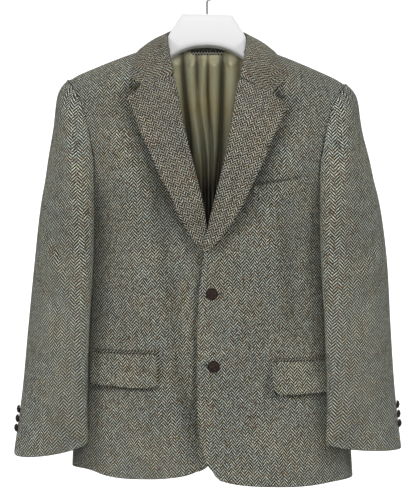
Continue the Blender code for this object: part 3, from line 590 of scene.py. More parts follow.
def hem_height(side, angle):
    """Height of the lower edge at an angle round the oval."""
    x = np.abs(form(angle, -0.84 + 0 * np.asarray(angle))[..., 0])
    front = curve(HEM, "x", named(side), x)
    back = -0.8395 - 0.006 * np.sin(np.radians(angle))
    return np.where(np.abs(angle) < 60, front, front + (back - front) * blend(60, 150, np.abs(angle)))


def armhole(side):
    """Half loops of the armhole as (angle, z): front, under the arm and back."""
    x = ARMHOLE["x"] * side
    z = np.where(np.arange(len(x)) == 0, ridge(x), ARMHOLE["z"] - LEAN * x)
    front = np.stack([angle_at(x, z), z], axis=-1)
    back = np.stack([side * 180 - front[:, 0], z], axis=-1)
    under = np.stack([side * ARMPIT["angle"], ARMPIT["z"] - ARMPIT_LEAN * side], axis=-1)
    return front, under, back


def side_seam(side, start, angle):
    """Samples of a side seam from the armhole to the hem."""
    end = np.array([side * angle, hem_height(side, side * angle)])
    return start + SEAM_SHARES[:, None] * (end - start)


def front_edge(side, z):
    """x of a front's inner edge."""
    return curve(FRONT_EDGES[side], "z", "x", z)


def numbered(rows):
    """(angle, z) rows as columns, with the root of each row's drop from the first."""
    return {"row": np.arange(len(rows), dtype=float), "angle": rows[:, 0],
            "root": np.sqrt(np.maximum(rows[0, 1] - rows[:, 1], 0))}


def finer(rows, at):
    """(angle, z) rows read between their numbers: the drop from the first is a smooth curve squared,
    because a shoulder falls slowly at first."""
    key = numbered(rows)
    z = rows[0, 1] - curve(key, "row", "root", at) ** 2
    return np.stack([curve(key, "row", "angle", at), z], axis=-1)


def row_numbers(*borders):
    """Fractional row numbers of two borders, so that the rows of points are STEP apart on average."""
    dense = np.linspace(0, len(borders[0]) - 1, 600)
    walked = 0
    for rows in borders:
        walked = walked + steps_along(form_at(finer(rows, dense)), 0)
    walked = walked / len(borders)
    return np.interp(spread(walked[-1]), walked, dense)


def fill(top, bottom, left, right, u):
    """A Coons patch: the four borders blended, less their corners. v is each side's share of its drop."""
    u = u[None, :, None]
    drops = [(edge[0, 1] - edge[:, 1]) / (edge[0, 1] - edge[-1, 1]) for edge in (left, right)]
    v = (1 - u) * drops[0][:, None, None] + u * drops[1][:, None, None]
    sides = (1 - u) * left[:, None] + u * right[:, None]
    ends = (1 - v) * top[None] + v * bottom[None]
    corners = (1 - v) * ((1 - u) * top[0] + u * top[-1]) + v * ((1 - u) * bottom[0] + u * bottom[-1])
    return sides + ends - corners


# %% Front panels
def tuck(points):
    """How far the right front lies inward: all of TUCK where the left front covers it."""
    near = blend(-0.085, -0.022, points[..., 0])
    low = 1 - blend(-0.425, -0.365, points[..., 2])
    return -TUCK * near * low


TIP_DROP, TIP_REACH = 0.0026, 0.014
FRONT_WIDTH = 0.230     # along the shoulder seam, for the number of columns


def tip_drop(side, base):
    """The shoulder's corner sinks a little, so that the sleeve head stands round above it."""
    x = ARMHOLE["x"][0] * side
    return -TIP_DROP * np.exp(-(np.linalg.norm(base - [x, 0, ridge(x)], axis=-1) / TIP_REACH) ** 2)


def front_domain(side):
    """(angle, z) grid of a front, neck edge to armhole and side seam."""
    loop, under, _ = armhole(side)
    right = np.concatenate([loop, side_seam(side, under[0], SIDE_FRONT)])
    edge_z = FRONT_EDGES[side]["z"]
    upper = edge_z.max() - np.array(NECK_DROPS)
    z = np.concatenate([upper, upper[-1] + SEAM_SHARES[1:] * (edge_z.min() - upper[-1])])
    z[0] = ridge(front_edge(side, z[0]))
    left = np.stack([angle_at(front_edge(side, z), z), z], axis=-1)
    at = row_numbers(left, right)
    right, z = finer(right, at), finer(left, at)[:, 1]
    x = front_edge(side, z)
    left = np.stack([angle_at(x, z), z], axis=-1)
    u = spread(FRONT_WIDTH) / FRONT_WIDTH
    x_top = x[0] + u * (side * ARMHOLE["x"][0] - x[0])
    top = np.stack([angle_at(x_top, ridge(x_top)), ridge(x_top)], axis=-1)
    angles = left[-1, 0] + u * (right[-1, 0] - left[-1, 0])
    bottom = np.stack([angles, hem_height(side, angles)], axis=-1)
    bottom[0] = left[-1]
    return fill(top, bottom, left, right, u)


# depth and width in mm, then the path as (x, z) in mm over the front
FRONT_CREASES = {
    1: [(-9.0, 15, [(118, -196), (137, -226), (120, -285), (98, -340), (72, -400), (38, -450)]),
        (-7.0, 8, [(112, -198), (130, -206)]),
        (-4.0, 20, [(72, -300), (66, -372), (84, -430), (96, -520)]),
        (-3.0, 5, [(70, -352), (112, -347), (160, -336)]), (3.0, 24, [(118, -250), (112, -380), (126, -520)]),
        (-3.0, 22, [(160, -330), (150, -470), (160, -620)]),
        (2.6, 26, [(40, -500), (64, -620), (60, -800)]),
        (-2.6, 24, [(96, -690), (104, -760), (112, -846)]),
        (3.0, 28, [(165, -560), (172, -700), (178, -846)]),
        (-1.8, 12, [(14, -530), (52, -505), (92, -500)]),
        (-1.5, 12, [(16, -650), (50, -640), (84, -648)])],
    -1: [(-9.0, 16, [(-120, -180), (-138, -213), (-122, -270), (-104, -320), (-78, -375), (-44, -430)]),
         (-7.0, 8, [(-110, -187), (-128, -190)]),
         (-5.5, 24, [(-94, -292), (-80, -400), (-60, -510), (-52, -600)]),
         (3.0, 26, [(-128, -250), (-122, -400), (-112, -560)]),
         (-2.8, 24, [(-166, -320), (-158, -470), (-150, -640)]),
         (-5.0, 19, [(-54, -640), (-30, -720), (-14, -826)]),
         (3.2, 26, [(-88, -600), (-74, -720), (-70, -836)]),
         (-2.6, 24, [(-128, -690), (-124, -760), (-130, -838)]),
         (3.0, 28, [(-180, -540), (-184, -700), (-186, -838)])],
}

# painted shade: darkness from 0 to 1 and width in mm, then the path as (x, z) in mm: where cloth lies close
# over a front, beside the lapels, under the notches, welt and flaps, in troughs and beside the overlapping
# edge
FRONT_SHADES = {
    1: [(1.0, 14, [(134, -222), (122, -254), (107, -286), (92, -324), (78, -352), (62, -385),
                   (42, -420), (18, -450)]),
        (1.3, 6, [(112, -200), (126, -208)]), (0.9, 3.0, [(74, -352), (112, -345.5), (162, -337)]),
        (0.8, 4.5, [(104, -700), (150, -701), (200, -702)]), (0.6, 3, [(101, -650), (101, -694)]),
        (0.45, 14, [(120, -380), (128, -480), (140, -600)])],
    -1: [(1.0, 14, [(-135, -210), (-122, -237), (-109, -271), (-97, -297), (-82, -333), (-65, -366),
                    (-45, -411), (-22, -446)]),
         (1.3, 6, [(-111, -188), (-127, -194)]),
         (0.8, 4.5, [(-82, -688), (-130, -689), (-200, -690)]), (0.6, 3, [(-76, -638), (-76, -680)]),
         (0.55, 14, [(-86, -330), (-76, -420), (-62, -510), (-54, -610)]),
         (0.60, 13, [(-52, -640), (-32, -720), (-18, -826)]),
         (1.0, 4.5, [(-9, -462), (-12, -500), (-17, -540), (-19.5, -600), (-20, -665), (-19, -730),
                     (-13, -785)])],
}


def upright(points):
    """(x, z) of points, the flat that fronts, backs and lining have their creases on."""
    return points[..., [0, 2]]


for side in (1, -1):
    domain = front_domain(side)
    base = form_at(domain)
    lift = CLOTH / 2 + (tuck(base) if side < 0 else 0)
    lift = lift + creases(upright(base), FRONT_CREASES[side]) * calm(base)
    lift = lift + tip_drop(side, base)
    # painted shade along the FRONT_SHADES paths
    shade = creases(upright(base), FRONT_SHADES[side], 0.2) * 1000
    cloth("front_" + named(side), base, cloth_place(domain), lift, straight_tweed, shade=shade)

# %% [markdown]
# ## Sides and backs
# Between a front and a back lies a narrow side panel under the arm, and the back is two halves with a
# seam down the middle. They lie on the same form, so their borders are the fronts' own seams. The
# back hangs in long upright folds from the shoulder blades.

# %% Side panels
# depth and width in mm, then the path as (round, up) in mm on the flat cloth
SIDE_CREASES = {
    1: [(-3.2, 20, [(178, 400), (184, 250), (196, 40)]),
        (2.6, 22, [(220, 420), (226, 260), (236, 30)])],
    -1: [(-3.0, 18, [(-186, 420), (-192, 240), (-200, 30)]),
         (2.8, 20, [(-226, 410), (-236, 220), (-244, 40)])],
}
SIDE_WIDTH = 0.092


def side_domain(side):
    """(angle, z) grid of a side panel."""
    _, under, _ = armhole(side)
    left = side_seam(side, under[0], SIDE_FRONT)
    right = side_seam(side, under[-1], SIDE_BACK)
    at = row_numbers(left, right)
    left, right = finer(left, at), finer(right, at)
    u = spread(SIDE_WIDTH) / SIDE_WIDTH
    angles = side * np.interp(u, np.linspace(0, 1, len(ARMPIT["z"])), ARMPIT["angle"])
    top = np.stack([angles, curve(ARMPIT, "angle", "z", np.abs(angles)) - ARMPIT_LEAN * side], axis=-1)
    bottom = np.stack([angles, hem_height(side, angles)], axis=-1)
    return fill(top, bottom, left, right, u)


for side in (1, -1):
    domain = side_domain(side)
    base, place = form_at(domain), cloth_place(domain)
    lift = CLOTH / 2 + creases(place, SIDE_CREASES[side]) * calm(base)
    cloth("side_" + named(side), base, place, lift, straight_tweed)

# %% Back panels
# depth and width in mm, then the path as (x, z) in mm over the back
BACK_CREASES = {
    1: [(4.5, 26, [(52, -300), (46, -470), (60, -660), (70, -846)]),
        (-4.2, 24, [(100, -280), (92, -460), (104, -660), (112, -846)]),
        (3.4, 26, [(146, -330), (138, -500), (150, -846)]),
        (-3.0, 18, [(186, -240), (176, -330), (182, -430)]),
        (-2.2, 16, [(20, -420), (16, -600), (26, -800)])],
    -1: [(-4.0, 24, [(-44, -290), (-52, -470), (-48, -700), (-56, -840)]),
         (4.2, 28, [(-90, -300), (-84, -500), (-96, -700), (-98, -840)]),
         (-3.4, 24, [(-140, -320), (-132, -520), (-144, -840)]),
         (-2.8, 18, [(-184, -250), (-176, -340), (-180, -420)])],
}
BACK_WIDTH = 0.235      # along the top, for the number of columns
NECK_SHARE = 0.30       # share of the top that is the neck's hollow
NECK_HOLLOW = table("x drop", [
    (0.0, 0.0215), (0.024, 0.0190), (0.046, 0.0125), (0.062, 0.0045), (0.0719, 0.0)])


def back_domain(side):
    """(angle, z) grid of a half back, its middle seam to the armhole and side seam."""
    _, under, loop = armhole(side)
    right = np.concatenate([loop, side_seam(side, under[-1], SIDE_BACK)])
    at = row_numbers(right)
    right = finer(right, at)
    start = front_edge(side, FRONT_EDGES[side]["z"].max())
    u = spread(BACK_WIDTH) / BACK_WIDTH
    neck_x = side * np.clip(u / NECK_SHARE, 0, 1) * abs(start)
    drop = np.where(u < NECK_SHARE, curve(NECK_HOLLOW, "x", "drop", np.abs(neck_x)), 0)
    outside = np.clip((u - NECK_SHARE) / (1 - NECK_SHARE), 0, 1)
    x = np.where(u < NECK_SHARE, neck_x, start + outside * (side * ARMHOLE["x"][0] - start))
    z = ridge(x) - drop
    top = np.stack([angle_at(x, z, True), z], axis=-1)
    top[:, 0] = np.where(top[:, 0] > 180.001, top[:, 0] - 360, top[:, 0])
    top[0, 0] = side * 180
    share = (right[0, 1] - right[:, 1]) / (right[0, 1] - right[-1, 1])
    z = top[0, 1] + share * (hem_height(side, side * 180.0) - top[0, 1])
    left = np.stack([side * 180 + 0 * z, z], axis=-1)
    angles = side * (180 + u * (SIDE_BACK - 180))
    bottom = np.stack([angles, hem_height(side, angles)], axis=-1)
    return fill(top, bottom, left, right, u)


for side in (1, -1):
    domain = back_domain(side)
    base = form_at(domain)
    place = cloth_place(np.stack([np.clip(domain[..., 0], -180, 180), domain[..., 1]], axis=-1))
    place[..., 0] -= read_chart(around, side * 180.0 + 0 * domain[..., 1], domain[..., 1])
    lift = CLOTH / 2 + creases(upright(base), BACK_CREASES[side]) * calm(base)
    lift = lift + tip_drop(side, base)
    cloth("back_" + named(side), base, place, lift, straight_tweed)

# %% [markdown]
# ## Lapels and collar
# A lapel is the top of the front folded back, so it shows the facing: the same tweed with its columns
# lying along the lapel's outer edge. The fold is never pressed flat: the cloth turns over in a soft
# roll, and the outer edge stands a few millimetres off the chest. The collar falls over its stand in
# the same way, and the two meet at the gorge seam, with the notch beyond it.

# %% Lapel tables
LAPEL_EDGES = {1: table("z x", [
    (-0.2231, 0.1303), (-0.254, 0.1160), (-0.286, 0.1010), (-0.324, 0.0855), (-0.350, 0.0725),
    (-0.383, 0.0570), (-0.418, 0.0375), (-0.446, 0.0160), (-0.4590, 0.0030)]),
    -1: table("z x", [
    (-0.2105, -0.1315), (-0.237, -0.1180), (-0.271, -0.1050), (-0.2955, -0.0930),
    (-0.3325, -0.0775), (-0.365, -0.0600), (-0.411, -0.0405), (-0.444, -0.0210),
    (-0.4580, -0.0100)])}
NOTCHES = {1: (0.1084, -0.2014), -1: (-0.1072, -0.1884)}       # x and z of the notch's inner corner
NOTCH_SHARE = 0.72      # how far across lapel and collar that corner is
LAPEL_TURN = 24.5       # degrees between the lapel's columns and the body's
LAPEL_LIGHT, COLLAR_LIGHT = (0.285, 0.278, 0.232), (0.270, 0.264, 0.216)
FACING_DARK, FACING_SEAM = (0.005, 0.005, 0.0045), 0.8
lapel_tweed = {side: tweed("tweed_lapel_" + named(side), LAPEL_TURN * side, LAPEL_LIGHT, FACING_DARK,
                           FACING_SEAM, SHORT_TURN) for side in (1, -1)}

# %% Lapels
LAPEL_LIFTS = {  # outer edge off the chest in mm, by share down the edge
    1: table("share lift", [
        (0, 6.0), (0.2, 8.0), (0.42, 11.5), (0.60, 11.5), (0.75, 8.0), (0.9, 3.5), (1, 0.3)]),
    -1: table("share lift", [
        (0, 5.5), (0.25, 8.0), (0.5, 10.5), (0.7, 9.5), (0.88, 4.0), (1, 0.3)])}
LAPEL_LENGTH, LAPEL_WIDTH = 0.262, 0.075
LAPEL_SWELL = 0.0055    # how far the lapel's middle stands off a straight line
LAPEL_ROLL, COLLAR_ROLL = 0.0075, 0.0050        # radius over which the cloth turns at its fold
LAPEL_ROUND = 0.0022    # the folded edges are rounder than the others


def lapel_domain(side, share, u):
    """(angle, z) grid of a lapel: across from the roll line to the edge, down from the gorge."""
    rows, notch = LAPEL_EDGES[side], NOTCHES[side]
    start_z = -0.1752 - side * 0.0025
    roll_z = start_z + share * (rows["z"].min() - start_z)
    edge_z = rows["z"].max() + share * (rows["z"].min() - rows["z"].max())
    if side > 0:
        roll_x = front_edge(side, np.maximum(roll_z, -0.470))
    else:
        roll_x = np.minimum(front_edge(side, roll_z), -0.0017)
    roll_x = roll_x - side * 0.0016
    edge_x = curve(rows, "z", "x", edge_z)
    x = roll_x[:, None] + (edge_x - roll_x)[:, None] * u
    z = roll_z[:, None] + (edge_z - roll_z)[:, None] * u
    stops = [0, NOTCH_SHARE, NOTCH_SHARE + 0.10, 1]
    beyond_x, beyond_z = (notch[k] * 0.7 + edge[0] * 0.3 for k, edge in enumerate((edge_x, edge_z)))
    corner_x = np.interp(u, stops, [roll_x[0], notch[0], beyond_x, edge_x[0]])
    corner_z = np.interp(u, stops, [roll_z[0], notch[1], beyond_z - 0.0030, edge_z[0]])
    fade = (1 - blend(0, 0.35, share))[:, None]
    x = x + (corner_x - x[0]) * fade
    z = z + (corner_z - z[0]) * fade - 0.0004
    return np.stack([angle_at(x, z), z], axis=-1)


for side in (1, -1):
    share = spread(LAPEL_LENGTH, 0.0026) / LAPEL_LENGTH
    u = spread(LAPEL_WIDTH, 0.0022) / LAPEL_WIDTH
    domain = lapel_domain(side, share, u)
    base = form_at(domain)
    raised = curve(LAPEL_LIFTS[side], "share", "lift", share)[:, None] / 1000 * u[None] ** 1.5
    body = LAPEL_SWELL * (1 - 0.8 * share ** 3)[:, None] * np.sin(np.pi * np.clip(u, 0, 1) ** 0.8)[None]
    roll = LAPEL_ROLL * (1 - 0.75 * share ** 3)[:, None]
    turn = roll * (quarter(steps_along(base, 1) / roll) - 1)
    lift = 1.5 * CLOTH + LAID + raised + body + turn * 0.55 + (tuck(base) if side < 0 else 0)
    cloth("lapel_" + named(side), base, cloth_place(domain), lift, lapel_tweed[side],
          round_off=LAPEL_ROUND)

# %% Collar table and helpers
# by share of each half: the fold at the top of the stand, the fall's edge and the stand's lower edge
COLLAR = table("w fold_x fold_y fold_z edge_x edge_y edge_z stand_x stand_z", [
    (0.000, 0.0000, 0.0560, -0.0900, 0.0000, 0.0680, -0.1400, 0.0000, -0.1205),
    (0.140, 0.0360, 0.0480, -0.0915, 0.0500, 0.0660, -0.1405, 0.0300, -0.1200),
    (0.260, 0.0580, 0.0310, -0.0955, 0.0860, 0.0470, -0.1380, 0.0540, -0.1185),
    (0.360, 0.0665, 0.0100, -0.1010, 0.1060, 0.0200, -0.1310, 0.0695, -0.1170),
    (0.405, 0.0675, 0.0000, -0.1030, 0.1120, 0.0000, -0.1300, 0.0710, -0.1172),
    (0.450, 0.0675, -0.0110, -0.1055, 0.1160, -0.0200, -0.1330, 0.0710, -0.1190),
    (0.560, 0.0660, -0.0310, -0.1140, 0.1205, -0.0430, -0.1440, 0.0685, -0.1240),
    (0.700, 0.0630, -0.0540, -0.1310, 0.1235, -0.0570, -0.1560, 0.0630, -0.1370),
    (0.850, 0.0585, -0.0720, -0.1510, 0.1258, -0.0650, -0.1670, 0.0580, -0.1550),
    (1.000, 0.0550, -0.0800, -0.1720, 0.1275, -0.0700, -0.1790, 0.0540, -0.1740)])


def clear_of_form(points, gap):
    """Points moved out of the form, to at least `gap` from it: up or out, whichever is less."""
    x, y, z = points[..., 0], points[..., 1], points[..., 2]
    reach = np.where(y > 0, curve(BODY, "z", "back", z), curve(BODY, "z", "front", z)) + gap
    reach = reach * np.abs(np.cos(np.radians(angle_at(x, z)))) ** SQUARENESS
    roll = SHOULDER_ROLL + gap
    share = np.clip((ridge(x) + gap - z) / roll, 0, 1)
    depth = reach * quarter(share)
    height = ridge(x) + gap - roll * (1 - np.sqrt(1 - np.clip(np.abs(y) / reach, 0, 1) ** 2))
    inside = (share > 0) & (np.abs(y) < depth)
    lift = inside & (height - z < depth - np.abs(y))
    moved = points.copy()
    moved[..., 2] = np.where(lift, height, z)
    moved[..., 1] = np.where(inside & ~lift, np.where(y > 0, depth, -depth), y)
    return moved


def collar_stations(w):
    """The collar table read along both halves, w from -1 (right end) to 1 (left end).

    Gives the side of each station, its row of the table, how far it leans down, and its fold point.
    """
    side = np.where(w < 0, -1.0, 1.0)
    take = {name: curve(COLLAR, "w", name, np.abs(w)) for name in COLLAR}
    mirror = {name: side * take[name] if name.endswith("_x") else take[name] for name in COLLAR}
    near = blend(0, 0.06, np.abs(w))
    lean = -LEAN * side * take["edge_x"] - 0.0015 * side * blend(0.6, 1, np.abs(w))
    fold = np.stack([mirror["fold_x"], take["fold_y"], take["fold_z"] + lean * 0.6], axis=-1)
    return side, take, lean * near, fold


def smoothed(grid, times):
    """A grid whose points are each drawn a quarter of the way to their neighbours, borders kept."""
    for _ in range(times):
        inner = (grid[:-2, 1:-1] + grid[2:, 1:-1] + grid[1:-1, :-2] + grid[1:-1, 2:]) / 4
        grid = grid.copy()
        grid[1:-1, 1:-1] += (inner - grid[1:-1, 1:-1]) * 0.5
    return grid


# %% The collar
COLLAR_HALF, COLLAR_FALL = 0.320, 0.062
COLLAR_GAP = 2 * CLOTH + 2 * LAID       # from the form, over the lapel or the back
CROWN = 0.0035          # how far the fall's middle swells behind the neck
collar_tweed = tweed("tweed_collar", 0.0, COLLAR_LIGHT, FACING_DARK, FACING_SEAM, SHORT_TURN)
w = spread(2 * COLLAR_HALF, 0.0026) / COLLAR_HALF - 1
side, take, lean, fold = collar_stations(w)
edge = np.stack([side * take["edge_x"], take["edge_y"], take["edge_z"] + lean], axis=-1)
edge = clear_of_form(edge, COLLAR_GAP)
u = spread(COLLAR_FALL, 0.0022) / COLLAR_FALL
fall = fold[:, None] + (edge - fold)[:, None] * u[None, :, None]
notch = np.where((side > 0)[:, None], [NOTCHES[1]], [(-NOTCHES[-1][0], NOTCHES[-1][1])])
gorge = np.interp(u, [0, NOTCH_SHARE, NOTCH_SHARE + 0.09, 1], [0, 1, 0.5, 0])[None]
end = blend(0.62, 1.0, np.abs(w))[:, None]
at_notch = np.argmin(np.abs(u - NOTCH_SHARE))
straight = fall[:, at_notch].copy()
fall[..., 2] += gorge * end * (notch[:, 1] + 0.0008 - straight[:, 2])[:, None]
fall[..., 0] += gorge * end * (side * notch[:, 0] - straight[:, 0])[:, None]
crown = CROWN * np.sin(np.pi * u)[None]
fall[..., 2] += crown * (1 - end)
fall = smoothed(clear_of_form(fall, COLLAR_GAP + crown + 0 * fall[..., 0]), 6)
drop = steps_along(fall, 1)
place = np.stack([0 * drop + steps_along(fall, 0).mean(axis=1)[:, None], drop], axis=-1)
turn = COLLAR_ROLL * (quarter(drop / COLLAR_ROLL) - 1)
cloth("collar", fall, place, -CLOTH / 2 + turn * 0.5, collar_tweed,
      round_off=LAPEL_ROUND)

# %% The collar's stand
STAND_HALF, STAND_DROP = 0.220, 0.024
STAND_REACH = 0.68      # share of the collar's half length that has a stand
STAND_CLOTH = 0.75 * CLOTH
w = (spread(2 * STAND_HALF, 0.0032) / STAND_HALF - 1) * STAND_REACH
side, take, lean, fold = collar_stations(w)
low = np.stack([side * (take["stand_x"] - 0.0012), take["fold_y"], take["stand_z"] + lean * 0.6], axis=-1)
low = clear_of_form(low, CLOTH + LAID)
top = fold + unit(low - fold) * 0.0036 - unit(fold * [1, 1, 0]) * 0.0022
u = spread(STAND_DROP, 0.0026) / STAND_DROP
stand = top[:, None] + (low - top)[:, None] * u[None, :, None]
cloth("collar_stand", stand, own_place(stand)[..., ::-1], -STAND_CLOTH / 2, collar_tweed,
      thickness=STAND_CLOTH)

# %% [markdown]
# ## Pockets
# Each flap is a small double piece with rounded lower corners. It hangs from a jet, a narrow folded
# strip that edges the pocket's slit. The breast pocket has a slanted welt instead. All of them lie on
# the front, so they are made from the front's points moved out.

# %% Flaps and jets
POCKET_TURN = 40        # degrees round the oval
POCKET_LENGTH = 0.152   # the same in metres, near enough for its points and corners
POCKETS = {1: (0.105, -0.6435, 0.054), -1: (-0.0795, -0.6305, 0.055)}  # front end's x, top and height
FLAP_CORNER = 0.0125
JET_CLOTH, JET_TOP, JET_HEIGHT = 0.0015, 0.0062, 0.0059
JET_ROWS = np.array([0.0, 0.08, 0.2, 0.35, 0.5, 0.65, 0.8, 0.92, 1.0])
FLAP_SHIFT, WELT_SHIFT = [0.002, 0.0013], [0.0031, 0.0007]      # so that their weave is off the front's
# painted shade: the jets are the body's tweed made darker, for the shade in the pocket's slit
shaded_jet_tweed = tweed("tweed_jet_shaded", 0.0, (0.205, 0.205, 0.168))
flap_tweed = tweed("tweed_flap", 0.0, (0.308, 0.316, 0.262), seam=0.75)


def front_relief(side, base):
    """Lift of a front's middle layer at any points on it."""
    return creases(upright(base), FRONT_CREASES[side]) + (tuck(base) if side < 0 else 0)


for side in (1, -1):
    front_x, top, height = POCKETS[side]
    u = spread(POCKET_LENGTH, 0.0028) / POCKET_LENGTH
    v = spread(height, 0.0026) / height
    angles = angle_at(front_x, top) + side * u * POCKET_TURN
    from_front = u * POCKET_LENGTH
    near_end = np.minimum(from_front, POCKET_LENGTH - from_front)
    rise = FLAP_CORNER * (1 - quarter(near_end / FLAP_CORNER))
    sag = -0.0012 * np.sin(np.pi * u * 1.6 + 0.4)
    low = top - height + rise * 0.95 + sag
    z = top + v[:, None] * (low - top)[None]
    domain = np.stack([np.broadcast_to(angles, z.shape), z], axis=-1)
    base = form_at(domain)
    bow = (0.0016 + 0.0012 * np.sin(2 * np.pi * u * 1.3 + side)[None]) * v[:, None]
    lift = 1.5 * CLOTH + LAID + 0.0035 * v[:, None] + bow + front_relief(side, base)
    cloth("flap_" + named(side), base, cloth_place(domain) + FLAP_SHIFT, lift, flap_tweed,
          round_off=0.0024)
    jet_z = top + JET_TOP - JET_HEIGHT * JET_ROWS
    domain = np.stack(np.broadcast_arrays(angles[None, :], jet_z[:, None]), axis=-1)
    base = form_at(domain)
    lift = CLOTH + LAID + JET_CLOTH / 2 + front_relief(side, base)
    cloth("jet_" + named(side), base, cloth_place(domain)[..., ::-1], lift, shaded_jet_tweed,
          thickness=JET_CLOTH, round_off=0.0028)

# %% The breast welt
WELT_CLOTH = 0.0012
WELT_OPENS = 0.0022     # its top edge stands this much further off the chest than its lower edge
length, height = 0.084, 0.022
u, v = spread(length, 0.0028) / length, spread(height, 0.0026) / height
x = 0.078 + u * 0.083
z = (-0.3535 + u * 0.0145)[None] - height * v[:, None]
domain = np.stack([angle_at(np.broadcast_to(x, z.shape), z), z], axis=-1)
base = form_at(domain)
lift = CLOTH + LAID + WELT_CLOTH / 2 + WELT_OPENS * (1 - v[:, None]) + front_relief(1, base)
cloth("welt_breast", base, cloth_place(domain) + WELT_SHIFT, lift, flap_tweed, thickness=WELT_CLOTH,
      round_off=0.0020)

# %% [markdown]
# ## The lining
# Inside the V only the back lining shows: an olive satin that hangs in soft upright folds from the
# neck, with a pleat down the middle for ease. Satin shines along its threads, so its roughness is low
# and its colour shifts a little from fold to fold. The folds are ridges on the lining's own grid, and
# painted shade darkens their valleys and the low part of the V.

# %% Satin
def satin(name, colour, browner):
    """Smooth cloth: fine upright threads, a soft gloss and a slow change between two colours.

    Painted shade darkens it in the valleys of its folds, and from 211 to 365 mm below the origin, where the
    fronts close over it.
    """
    s = Shader(name)
    place = s.cloth_map()
    thread = s.noise(s.filtered(place, (900.0, 60.0, 1.0)), 1.0, 2.0)
    slow = ((s.noise(place, 14.0, 2.0) - 0.5) * 2.2 + 0.4).clamped()
    height = s.parts(s.in_space())[2]
    # painted shade: darker towards the bottom of the V
    low_painted_shade = ((height + 0.365) * 6.5).clamped() * 0.94 + 0.06
    # painted shade in the folds' valleys and near the border, from the attribute edge
    light = s.edge() * 0.86 + 0.14
    base = s.times(s.colour(slow, colour, browner), (thread * 0.22 + 0.89) * low_painted_shade * light)
    return s.finish(Base_Color=base, Roughness=thread * 0.10 + 0.40, Metallic=0.12,
                    Normal=s.bump(thread, 0.25, 0.00012))


olive_satin = satin("lining_satin", (0.700, 0.700, 0.475), (0.714, 0.630, 0.361))
LINING_REACH = table("z angle", [
    (-0.1290, 13), (-0.1365, 18), (-0.185, 32), (-0.250, 44), (-0.330, 52), (-0.410, 66), (-0.500, 72),
    (-0.815, 73)])
# depth and width in mm, then the path as (x, z) in mm; positive stands out towards the front
LINING_FOLDS = [
    (7, 9, [(-29, -100), (-27, -169), (-22, -228), (-15, -287), (-8, -340), (-4, -480)]),
    (-12, 3.6, [(-18, -100), (-17, -169), (-15, -222), (-8, -270), (-4, -317), (-1, -480)]),
    (8, 6, [(-2, -110), (-7, -165), (-10, -200), (-6, -250), (0, -300), (3, -346), (4, -480)]),
    (-11, 3.0, [(1, -100), (1.5, -195), (4, -240), (8, -287), (8, -330), (6, -480)]),
    (8, 9, [(13, -100), (13, -200), (14, -260), (13, -320), (10, -480)]),
    (-14, 5.5, [(26, -120), (25, -180), (24, -240), (22, -300), (16, -360), (12, -480)]),
    (7, 10, [(42, -100), (42, -180), (38, -260), (30, -340), (26, -480)]),
    (-13, 5, [(-43, -100), (-41, -160), (-36, -220), (-30, -280), (-24, -480)]),
    (6, 9, [(-56, -100), (-54, -180), (-48, -260), (-40, -480)]),
    (-7, 5, [(56, -100), (54, -200), (48, -280), (40, -480)]),
    (-6, 3, [(-10, -110), (-10, -150)]), (-6, 3, [(-33, -110), (-32, -150)]),
    (-5, 3, [(36, -110), (35, -152)]),
    (4, 12, [(66, -190), (76, -330), (86, -560), (96, -820)]),
    (4, 12, [(-74, -200), (-84, -380), (-94, -600), (-100, -820)]),
    (6, 14, [(30, -440), (44, -620), (50, -820)]), (-6, 12, [(-10, -440), (-4, -640), (0, -820)]),
    (6, 14, [(-40, -440), (-46, -640), (-52, -820)])]

LINING_TOP, LINING_LENGTH, LINING_WIDTH = -0.1290, 0.6860, 0.40
LINING_STANDS = 0.0150      # the whole lining stands this far inside the back
z = LINING_TOP - spread(LINING_LENGTH, 0.0040)
reach = curve(LINING_REACH, "z", "angle", z)
u = spread(LINING_WIDTH, 0.0024) / LINING_WIDTH * 2 - 1
u = np.sign(u) * np.abs(u) ** 1.5        # closer together where the V shows them
domain = np.stack([180 - reach[:, None] * u[None], z[:, None] + 0 * u[None]], axis=-1)
base = form_at(domain)
folds = creases(upright(base), LINING_FOLDS, 0.25)
lift = -LINING / 2 - LINING_GAP - (folds + LINING_STANDS) * blend(0.0055, 0.020, from_border(base))
# shade darkens the folds' valleys: painted shade
cloth("lining_back", base, own_place(base), lift, olive_satin, "lining", thickness=LINING,
      round_off=0.0010, shade=1 - blend(-0.011, 0.005, folds))

# %% The tape below the neck
ZIGZAG_LENGTH, ZIGZAG_HEIGHT, STITCH = 0.0049, 0.0056, 0.22     # one tooth; thread as share of its height


def zigzag_tape():
    """Black tape with a light zigzag: a thread where y / height is near |2 fraction(x / length) - 1|."""
    s = Shader("pinked_tape")
    x, y, _ = s.parts(s.cloth_map())
    zigzag = ((x / ZIGZAG_LENGTH).fraction() - 0.5).size() * 2.0
    light = ((y - 0.0020) / ZIGZAG_HEIGHT - zigzag).size() < STITCH
    return s.finish(Base_Color=s.colour(light, (0.012, 0.012, 0.013), (0.95, 0.95, 0.82)), Roughness=0.8)


angles, z = np.linspace(176.6, 183.4, 24), np.linspace(-0.1273, -0.1345, 12)
base = form_at(np.stack(np.meshgrid(angles, z), axis=-1))
cloth("neck_tape", base, own_place(base), -1.5 * LINING - LINING_GAP - 3 * SEAM - 0.0006, zigzag_tape(),
      "dark_tape", thickness=LINING, round_off=0.0008)

# %% [markdown]
# ## Sleeves
# A jacket sleeve is two pieces, a wide top and a narrow under, joined down the front and back of the
# arm. It starts as the armhole's own loop and eases within a hand's breadth into a flat oval that
# turns forward on its way to the cuff. The creases run across at the elbow and slant below it.

